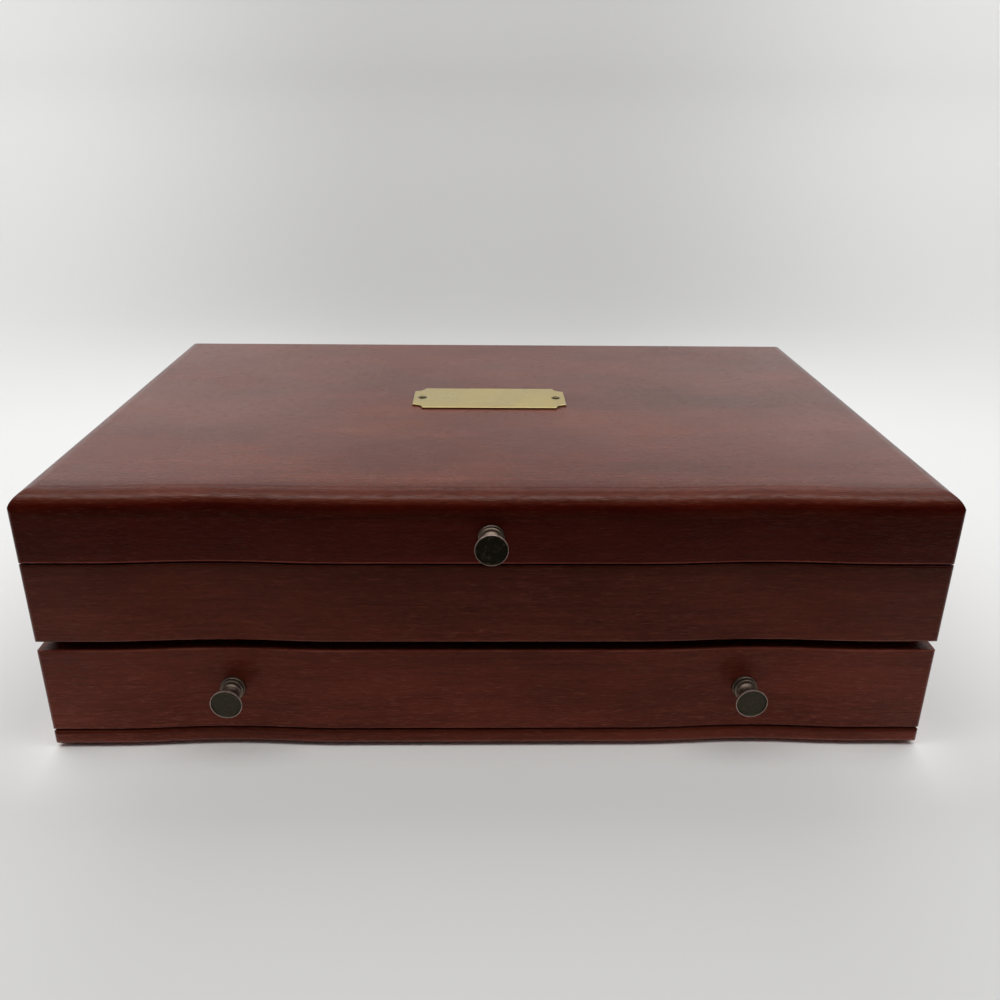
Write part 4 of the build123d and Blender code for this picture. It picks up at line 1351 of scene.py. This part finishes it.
@dataclass
class Woodwork:
    """Every wooden piece, each board with its own cut of the stained wood."""

    stained: tuple[Colour, Colour, Colour] = (
        (0.080, 0.0120, 0.0058), (0.186, 0.0344, 0.0168), (0.33, 0.102, 0.058),
    )
    pale: tuple[Colour, Colour, Colour] = ((0.20, 0.105, 0.058), (0.33, 0.19, 0.105), (0.42, 0.27, 0.16))
    wear_and_highlight_reach: float = 0.5 * MM
    roll_radius: float = 10.5 * MM

    def stain(self, number: int, board: Board) -> None:
        """Finishes one board in stained wood.

        Args:
            number: which part of the pattern it shows.
            board: the board.
        """
        low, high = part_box(board.nodes[0])
        # The lighter line of wear and painted highlight runs at this height.
        rubbed = board.rubbed + (low[2] if board.rubbed > 0 else high[2])
        wood = StainedWood(
            f"mahogany_{board.name}", *self.stained, board.grain, float(number), board.tone,
            worn_edge_and_highlight=(rubbed, self.wear_and_highlight_reach) if board.rubbed else None,
            painted_roll_light=PaintedRollLight(high[2], self.roll_radius, low[1]) if board.name == "lid_top" else None,
            painted_shading=tuple((low[2] + share * (high[2] - low[2]), factor) for share, factor in board.painted_shading),
        )
        finish_node(wood.make(), *board.nodes)

    def make(self) -> None:
        """Finishes every board."""
        for number, board in enumerate(BOARDS, 1):
            self.stain(number, board)
        sides = [f"drawer_{part}_{side}" for part in ("side", "runner") for side in ("left", "right")]
        box = ["drawer_back", "drawer_bottom", "compartment_floor", "drawer_stop_block"]
        for name, grain, nodes in (("sides", Grain.ALONG_Y, sides), ("box", Grain.ALONG_X, box)):
            wood = StainedWood(
                f"pale_drawer_{name}", *self.pale, grain, 11.0, roughness=0.5, facing_tint=(0.8, 0.7, 0.6)
            )
            finish_node(wood.make(), *nodes)


@dataclass
class Compartment:
    """The upper compartment's linings, its dividers and its slotted racks."""

    racks: int = 4
    slots: int = 12
    foot_half: float = 13.0 * MM
    top_half: float = 9.0 * MM
    top_round: float = 4.0 * MM
    slot_half: float = 1.6 * MM
    slot_depth: float = 17.0 * MM
    lip: float = 0.8 * MM

    def make(self, cloth: Material, rows: GeometryTree) -> None:
        """Makes everything in the compartment.

        Args:
            cloth: the flannel.
            rows: the row tree.
        """
        floor = "compartment_floor"
        GluedCloth(f"{floor}_cloth", f"{floor}_lining", "case", floor).make(cloth)
        WallCloth("compartment_wall_cloth", "compartment_wall_lining", "case", "case_back").make(cloth)
        for number in range(1, self.racks):
            CoveredDivider(f"bay_divider_{number}", f"compartment_divider_{number}", "case").make(cloth)
        for number in range(1, self.racks + 1):
            SlottedBar(
                f"rack_bar_{number}", f"flatware_rack_{number}", "case", (self.foot_half, self.lip),
                (self.top_half, self.top_round), 3.2 * MM, self.slots, self.slot_half, self.slot_depth,
                self.slot_half, self.lip,
            ).make(rows, cloth)


@dataclass
class DrawerInside:
    """The drawer's linings and dividers."""

    dividers: int = 2

    def make(self, cloth: Material) -> None:
        """Makes everything in the drawer.

        Args:
            cloth: the flannel.
        """
        GluedCloth("drawer_floor_cloth", "drawer_floor_lining", "drawer", "drawer_bottom").make(cloth)
        WallCloth("drawer_wall_cloth", "drawer_wall_lining", "drawer", "drawer_back").make(cloth)
        for number in range(1, self.dividers + 1):
            CoveredDivider(f"drawer_bay_divider_{number}", f"drawer_divider_{number}", "drawer").make(cloth)


@dataclass
class LidInside:
    """The lid's linings, the pad with its stitches, and the two bars that hold the knives."""

    knives: int = 12
    bar_half: float = 8.0 * MM
    bar_round: float = 3.0 * MM
    edge_round: float = 0.6 * MM
    blade_half: float = 12.0 * MM
    blade_depth: float = 3.2 * MM
    handle_half: float = 8.5 * MM
    handle_depth: float = 9.0 * MM
    handle_round: float = 4.0 * MM
    handle_lip: float = 1.2 * MM
    stitch_step: float = 3.2 * MM
    stitch_inset: float = 3.4 * MM
    stitch_corner: float = 1.5 * MM
    thread_radius: float = 0.22 * MM
    thread_sides: int = 6

    def stitch(self) -> Piece:
        """One stitch along X, thin at both ends.

        Returns:
            The stitch.
        """
        half = self.stitch_step * 0.34
        angles = [math.tau * k / self.thread_sides for k in range(self.thread_sides)]
        rings = []
        for share, size in ((-1.0, 0.2), (-0.8, 0.75), (-0.3, 1.0), (0.3, 1.0), (0.8, 0.75), (1.0, 0.2)):
            radius = self.thread_radius * size
            rings.append([(half * share, radius * math.cos(a), radius * math.sin(a)) for a in angles])
        return swept_shell("pad_stitch", rings)

    def pad_stitches(self, tree: GeometryTree) -> None:
        """Sews round the pad's border.

        Args:
            tree: the stitch tree.
        """
        low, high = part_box("lid_pad")
        x0, y0 = low[0] + self.stitch_inset, low[1] + self.stitch_inset
        x1, y1 = high[0] - self.stitch_inset, high[1] - self.stitch_inset
        level = high[2] - LidPad.edge - 0.05 * MM
        corners = ((x0, y0), (x1, y0), (x1, y1), (x0, y1))
        line = rounded_loop([(*corner, self.stitch_corner) for corner in corners], 20 * MM)
        edges = [(i, (i + 1) % len(line)) for i in range(len(line))]
        path = mesh_object("pad_stitch_path", [(*p, level) for p in line], [], edges)
        thread = NappedCloth(
            "brown_thread", (0.11, 0.060, 0.040), (0.24, 0.15, 0.10), fibre=5200.0, nap=0.05 * MM
        ).make()
        values = {"Stitch": self.stitch(), "Step": self.stitch_step, "Finish": thread}
        dress(tree.run("lid_pad_stitches", path, values), "lid", "flannel", thread)

    def make(self, cloth: Material, rows: GeometryTree, stitches: GeometryTree) -> None:
        """Makes everything in the lid.

        Args:
            cloth: the flannel.
            rows: the row tree.
            stitches: the stitch tree.
        """
        GluedCloth("lid_ceiling_cloth", "lid_ceiling_lining", "lid", "lid_top_board").make(cloth)
        WallCloth("lid_wall_cloth", "lid_wall_lining", "lid", "lid_back_rail").make(cloth)
        LidPad().make(cloth)
        self.pad_stitches(stitches)
        for kind, *slot in (
            ("blade", self.blade_half, self.blade_depth, self.edge_round, self.edge_round),
            ("handle", self.handle_half, -self.handle_depth, self.handle_round, self.handle_lip),
        ):
            node = f"knife_{kind}_bar"
            foot, top = (self.bar_half, self.bar_round), (self.bar_half, self.edge_round)
            bar = SlottedBar(f"{node}_covered", node, "lid", foot, top, 2.5 * MM, self.knives, *slot)
            bar.make(rows, cloth)


@dataclass(frozen=True)
class Screw:
    """A countersunk screw with a slotted head, pointing down, its head's face at the origin."""

    head: float
    shank: float
    length: float
    slot: float
    slot_depth: float
    across: int = 9
    half_steps: int = 5
    tip_share: float = 0.6
    point_share: float = 0.08

    def face(self, name: str) -> Piece:
        """The head's face with its slot.

        Args:
            name: the object's name.

        Returns:
            The open sheet.
        """
        radius, half = self.head / 2, self.slot / 2
        outer = [radius * math.cos(math.pi * k / self.across) for k in range(self.across // 2 + 1)]
        beside = [x for x in outer if x > half * 1.4]
        lines = [(-x, 0.0) for x in beside]
        lines += [(-half, 0.0), (-half, -self.slot_depth), (half, -self.slot_depth), (half, 0.0)]
        lines += [(x, 0.0) for x in reversed(beside)]
        chords = []
        for x, level in lines:
            step = math.sqrt(max(0.0, radius**2 - x**2)) / self.half_steps
            chords.append([(x, step * t, level) for t in range(-self.half_steps, self.half_steps + 1)])
        return sheet_through(name, chords)

    def make(self, name: str) -> Piece:
        """Builds the screw.

        Args:
            name: the object's name.

        Returns:
            The object.
        """

        def ring(size: float, level: float) -> Callable[[Vector], Point]:
            """The rule for a round rim of a radius at a level."""
            return lambda co: (*(Vector((co.x, co.y)).normalized() * size), level)

        neck, tip = (self.head - self.shank) / 2, self.shank * self.tip_share
        made = self.face(name)
        with edited(made.data) as work:
            close_rim(work, [
                ring(self.shank / 2, -neck),
                ring(self.shank / 2, tip - self.length),
                ring(self.shank * self.point_share, -self.length),
            ])
            tidy_faces(work, smooth=False)
        return made


@dataclass
class Hardware:
    """Knobs, the name plate, the hinges and every screw."""

    small: Screw = Screw(3.8 * MM, 2.0 * MM, 10.0 * MM, 0.6 * MM, 0.5 * MM)
    large: Screw = Screw(7.0 * MM, 3.5 * MM, 28.0 * MM, 1.0 * MM, 0.9 * MM)
    slot_turn: float = 0.5

    @staticmethod
    def places(node: str, level: float) -> list[Point]:
        """The middle of every loose part of a construction node, seen from above.

        Args:
            node: the node.
            level: the height that the places get.

        Returns:
            The places.
        """
        middles = []
        with edited(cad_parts[node].data, keep=False) as work:
            bmesh.ops.remove_doubles(work, verts=work.verts, dist=WELD)
            left = set(work.verts)
            while left:
                island = [left.pop()]
                for vertex in island:
                    near = {v for edge in vertex.link_edges for v in edge.verts} & left
                    left -= near
                    island += near
                xs, ys = [v.co.x for v in island], [v.co.y for v in island]
                middles.append(((min(xs) + max(xs)) / 2, (min(ys) + max(ys)) / 2, level))
        return sorted(middles)

    def screws(self, node: str, body: str, up: bool, slot: str, tree: GeometryTree, metal: Material) -> None:
        """Sets a slotted screw at every place of a construction node.

        Args:
            node: the node that holds the plain screws.
            body: the body that they move with.
            up: whether the screws point up.
            slot: the record's material slot.
            tree: the scatter tree.
            metal: their material.
        """
        low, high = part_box(node)
        screw = self.large if node == "base_screws" else self.small
        carrier = mesh_object(f"{node}_places", self.places(node, low[2] if up else high[2]), [])
        turn = (math.pi if up else 0.0, 0.0, self.slot_turn)
        values = {"Piece": screw.make(f"{node}_one"), "Turn": turn, "Finish": metal}
        dress(tree.run(f"{node}_slotted", carrier, values), body, slot, metal, node)

    def knob(self, node: str, patina: Colour) -> None:
        """Finishes one knob.

        Args:
            node: the knob.
            patina: the colour of its patina.
        """
        low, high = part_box(node)
        middle = ((low[0] + high[0]) / 2, low[1], (low[2] + high[2]) / 2)
        finish_node(PatinatedKnob(f"bronze_{node}", middle, (high[0] - low[0]) / 2, patina).make(), node)

    def plate(self) -> None:
        """Finishes the name plate and its two screws."""
        (low, high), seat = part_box("plate_screws"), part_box("name_plate")[1][2]
        head = (high[1] - low[1]) / 2
        heads = HeadPair(high[0] - head, low[1] + head, head)
        brass = SatinMetal(
            "satin_brass", (0.575, 0.465, 0.205), (0.52, 0.41, 0.175), 0.5, 0.30, mottle=40.0,
            painted_edge_shade_below=seat, heads=heads,
        )
        finish_node(brass.make(), "name_plate")
        finish_node(AgedScrews("aged_screw_brass", heads, seat).make(), "plate_screws")

    def make(self, tree: GeometryTree) -> None:
        """Finishes the hardware and sets the screws.

        Args:
            tree: the scatter tree.
        """
        # The lid knob's patina is darker than the drawer knobs' partly as painted shade: the lid front gets
        # less light.
        self.knob("lid_knob", (0.020, 0.017, 0.010))
        for side in ("left", "right"):
            self.knob(f"drawer_knob_{side}", (0.044, 0.040, 0.027))
        self.plate()
        hinge = SatinMetal("hinge_brass", (0.80, 0.62, 0.32), (0.42, 0.29, 0.13), roughness=0.34).make()
        for side in ("left", "right"):
            finish_node(hinge, *(f"{side}_hinge_{part}" for part in ("case_leaf", "lid_leaf", "pin")))
        steel = SatinMetal("zinc_plated_steel", (0.55, 0.55, 0.54), (0.38, 0.37, 0.35), roughness=0.38).make()
        finish_node(steel, "lid_knob_screw", "drawer_knob_screws")
        self.screws("hinge_case_screws", "case", False, "hinge_brass", tree, hinge)
        self.screws("hinge_lid_screws", "lid", True, "hinge_brass", tree, hinge)
        self.screws("base_screws", "case", True, "screw_steel", tree, steel)


# ---- Studio ----
@dataclass
class Camera:
    """The camera where the photograph was taken from."""

    place: Point = (-0.00472, -0.53641, 0.30269)
    heading: float = math.radians(1.253)
    tilt: float = math.radians(23.074)
    roll: float = math.radians(0.627)
    lens: float = 33.761
    sensor: float = 36.0

    def make(self) -> None:
        """Makes the scene's camera."""
        data = bpy.data.cameras.new("photo_camera")
        data.lens = self.lens
        data.sensor_width = self.sensor
        data.clip_start = 0.01
        camera = bpy.data.objects.new("photo_camera", data)
        turn = Matrix.Rotation(-self.heading, 4, "Z") @ Matrix.Rotation(math.pi / 2 - self.tilt, 4, "X")
        camera.matrix_world = Matrix.Translation(self.place) @ turn @ Matrix.Rotation(self.roll, 4, "Z")
        bpy.context.scene.collection.objects.link(camera)
        bpy.context.scene.camera = camera


@dataclass(frozen=True)
class StudioPaper(Finish):
    """Pale paper with painted light at its sides and beside the chest's foot, and unlit far before the chest.

    The floor and the wall each have a colour in the middle and a lighter one at the side, as painted light.
    rise says the painted light and shade up the wall, each time as a start, an end, and the factors there.
    """

    # Middle and lighter side colours, as painted light; rise is painted light and shade up the wall.
    floor: tuple[Colour, Colour] = ((0.652, 0.649, 0.637), (0.775, 0.775, 0.770))
    wall: tuple[Colour, Colour] = ((0.488, 0.486, 0.479), (0.755, 0.755, 0.752))
    rise: tuple[tuple[float, float, float, float], ...] = (
        (0.0, 0.40, 0.90, 1.28), (0.44, 0.54, 1.0, 1.45), (0.58, 0.67, 1.0, 0.45),
    )
    chest_half_depth: float = 0.148
    chest_half_width: float = 0.219
    # Painted light on the floor before and beside the chest, against its contact shadow.
    painted_front_light: float = 0.60
    painted_side_light: float = 0.38
    falloff: float = 26.0
    # Painted shade in the bend.
    bend_shade: float = 0.03
    unlit: Colour = (0.05, 0.05, 0.05)
    unlit_from: float = -0.33
    unlit_to: float = -0.38

    def near(self, g: Graph, away: Socket, edge: float) -> Socket:
        """How near the floor is to the chest, falling off from 1 at the chest's edge.

        Args:
            g: the graph.
            away: the distance from the chest's middle.
            edge: where the chest ends.

        Returns:
            The value's socket.
        """
        beyond = g.math("MAXIMUM", g.math("SUBTRACT", away, edge), 0.0)
        return g.math("EXPONENT", g.math("MULTIPLY", beyond, -self.falloff))

    def shade(self, g: Graph, x: Socket, y: Socket, z: Socket) -> Socket:
        """The painted light and shade of the paper: painted light before and beside the chest, painted shade
        in the bend and painted light and shade up the wall.

        Args:
            g: the graph.
            x: how far a point is from the middle, to either side.
            y: how far back it is.
            z: its height.

        Returns:
            The factor's socket.
        """
        deep = g.math("ABSOLUTE", y)
        # Painted light before and beside the chest, against the chest's contact shadow.
        front = g.math(
            "MULTIPLY", self.near(g, deep, self.chest_half_depth),
            g.remap(x, 0.17, 0.25, self.painted_front_light, 0.0), g.remap(y, -0.14, -0.10, 1.0, 0.0),
        )
        sides = g.math(
            "MULTIPLY", self.near(g, x, self.chest_half_width),
            g.remap(y, 0.02, 0.14, self.painted_side_light, 0.0), g.remap(deep, 0.13, 0.20, 1.0, 0.0),
        )
        # Painted shade in the bend.
        bend = g.math("MULTIPLY", g.remap(y, 0.2, 0.5), g.remap(y, 0.78, 1.05, self.bend_shade, 0.0))
        # Painted light and shade up the wall.
        factors = [g.remap(z, *step) for step in self.rise]
        return g.math("MULTIPLY", g.math("ADD", 1.0, front, sides), g.math("SUBTRACT", 1.0, bend), *factors)

    def wire(self, g: Graph, shader: Node) -> None:
        """Wires the paper's colour, which is dark far before the chest for all but the camera and glass.

        Args:
            g: the material's graph.
            shader: its shader.
        """
        x, y, z = g.axes()
        x = g.math("ABSOLUTE", x)
        # Lighter towards the sides, as painted light.
        floor = g.blend(g.remap(x, 0.12, 0.34), *self.floor)
        wall = g.blend(g.remap(x, 0.12, 0.95), *self.wall)
        colour = g.shaded(g.blend(g.remap(y, 0.30, 0.98), floor, wall), self.shade(g, x, y, z))
        path = g.add("ShaderNodeLightPath").outputs
        seen = g.math("MAXIMUM", path["Is Camera Ray"], path["Is Transmission Ray"])
        unlit = g.math("MULTIPLY", g.remap(y, self.unlit_from, self.unlit_to), g.math("SUBTRACT", 1.0, seen))
        g.feed(shader, {
            "Base Color": g.blend(unlit, colour, self.unlit), "Roughness": 0.9, "Specular IOR Level": 0.1,
        })


@dataclass(frozen=True)
class StudioBlack(Finish):
    """The dark card's matt black."""

    def wire(self, g: Graph, shader: Node) -> None:
        """Wires an uneven dark grey without a shine."""
        grey = g.grey(g.remap(g.noise((3, 3, 3)), 0.2, 0.8, 0.035, 0.05))
        g.feed(shader, {"Base Color": grey, "Roughness": 1.0, "Specular IOR Level": 0.0})


@dataclass
class Studio:
    """A pale floor that sweeps up into a backdrop, a soft overhead light and a dark card before the chest.

    The floor ends at the card. The light's size is its width and depth, and its power is in watts.
    """

    half_width: float = 2.6
    front: float = -0.95
    floor_lines: tuple[float, ...] = (-0.6, -0.2, 0.2, 0.5)
    sweep_start: float = 0.78
    sweep_radius: float = 0.34
    sweep_steps: int = 24
    wall_height: float = 0.72
    card_half_width: float = 1.3
    card_height: float = 1.32
    card_roof: float = 0.32
    world_level: float = 0.36
    light_place: Point = (-0.05, 0.29, 1.3)
    light_size: tuple[float, float] = (2.6, 1.82)
    light_power: float = 32.0

    @staticmethod
    def bent_sheet(name: str, profile: Section, half_width: float, finish: Finish) -> Piece:
        """Stands a bent sheet in the studio.

        Args:
            name: its name.
            profile: its line seen from the side, as (y, z).
            half_width: half its width.
            finish: its finish.

        Returns:
            The sheet.
        """
        made = sheet_through(name, [[(side * half_width, y, z) for side in (-1, 1)] for y, z in profile])
        made.data.materials.append(finish.make())
        return made

    def sweep(self) -> None:
        """Makes the floor and backdrop as one bent sheet."""
        profile = [(y, 0.0) for y in (self.front, *self.floor_lines)]
        for angle in (math.pi / 2 * step / self.sweep_steps for step in range(self.sweep_steps + 1)):
            y = self.sweep_start + self.sweep_radius * math.sin(angle)
            profile.append((y, self.sweep_radius * (1 - math.cos(angle))))
        profile.append((self.sweep_start + self.sweep_radius, self.sweep_radius + self.wall_height))
        self.bent_sheet("studio_sweep", profile, self.half_width, StudioPaper("studio_paper"))

    def dark_card(self) -> None:
        """Stands a dark card before the chest, as the unlit room was; the camera doesn't see it."""
        top = self.card_height
        profile = [(self.front, 0.0), (self.front, top), (self.front + self.card_roof, top)]
        card = self.bent_sheet("studio_card", profile, self.card_half_width, StudioBlack("studio_black"))
        card.visible_camera = False

    def lights(self) -> None:
        """Fills the room with plain pale light and hangs the soft rectangular light, facing down."""
        world = bpy.data.worlds.new("studio_world")
        bpy.context.scene.world = world
        world.use_nodes = True
        background = world.node_tree.nodes["Background"]
        background.inputs[0].default_value = (1.0, 1.0, 1.0, 1.0)
        background.inputs[1].default_value = self.world_level
        data = bpy.data.lights.new("overhead", "AREA")
        data.shape = "RECTANGLE"
        data.size, data.size_y = self.light_size
        data.energy = self.light_power
        light = bpy.data.objects.new("overhead", data)
        light.location = self.light_place
        light.rotation_mode = "QUATERNION"
        light.rotation_quaternion = Vector((0, 0, -1)).to_track_quat("-Z", "Y")
        bpy.context.scene.collection.objects.link(light)

    def make(self) -> None:
        """Sets up the whole studio."""
        self.sweep()
        self.dark_card()
        self.lights()
        bpy.context.scene.view_settings.view_transform = "Standard"
        Camera().make()


def main() -> None:
    """Builds every finish and piece, then the studio round them."""
    Woodwork().make()
    flannel = NappedCloth("brown_flannel", (0.17, 0.095, 0.062), (0.30, 0.185, 0.125)).make()
    felt = NappedCloth("dark_green_felt", (0.020, 0.026, 0.022), (0.055, 0.064, 0.055), fibre=900.0).make()
    rows, scatter, stitches = row_tree(), scatter_tree(), stitch_tree()
    Compartment().make(flannel, rows)
    DrawerInside().make(flannel)
    LidInside().make(flannel, rows, stitches)
    Hardware().make(scatter)
    foot = GluedCloth("base_felt_sheet", "base_felt", "case", "base_board", slot="base_felt", clear=0.3 * MM)
    foot.make(felt)
    Studio().make()


if __name__ == "__main__":
    logging.basicConfig(level=logging.INFO, format="%(message)s")
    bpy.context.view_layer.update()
    main()
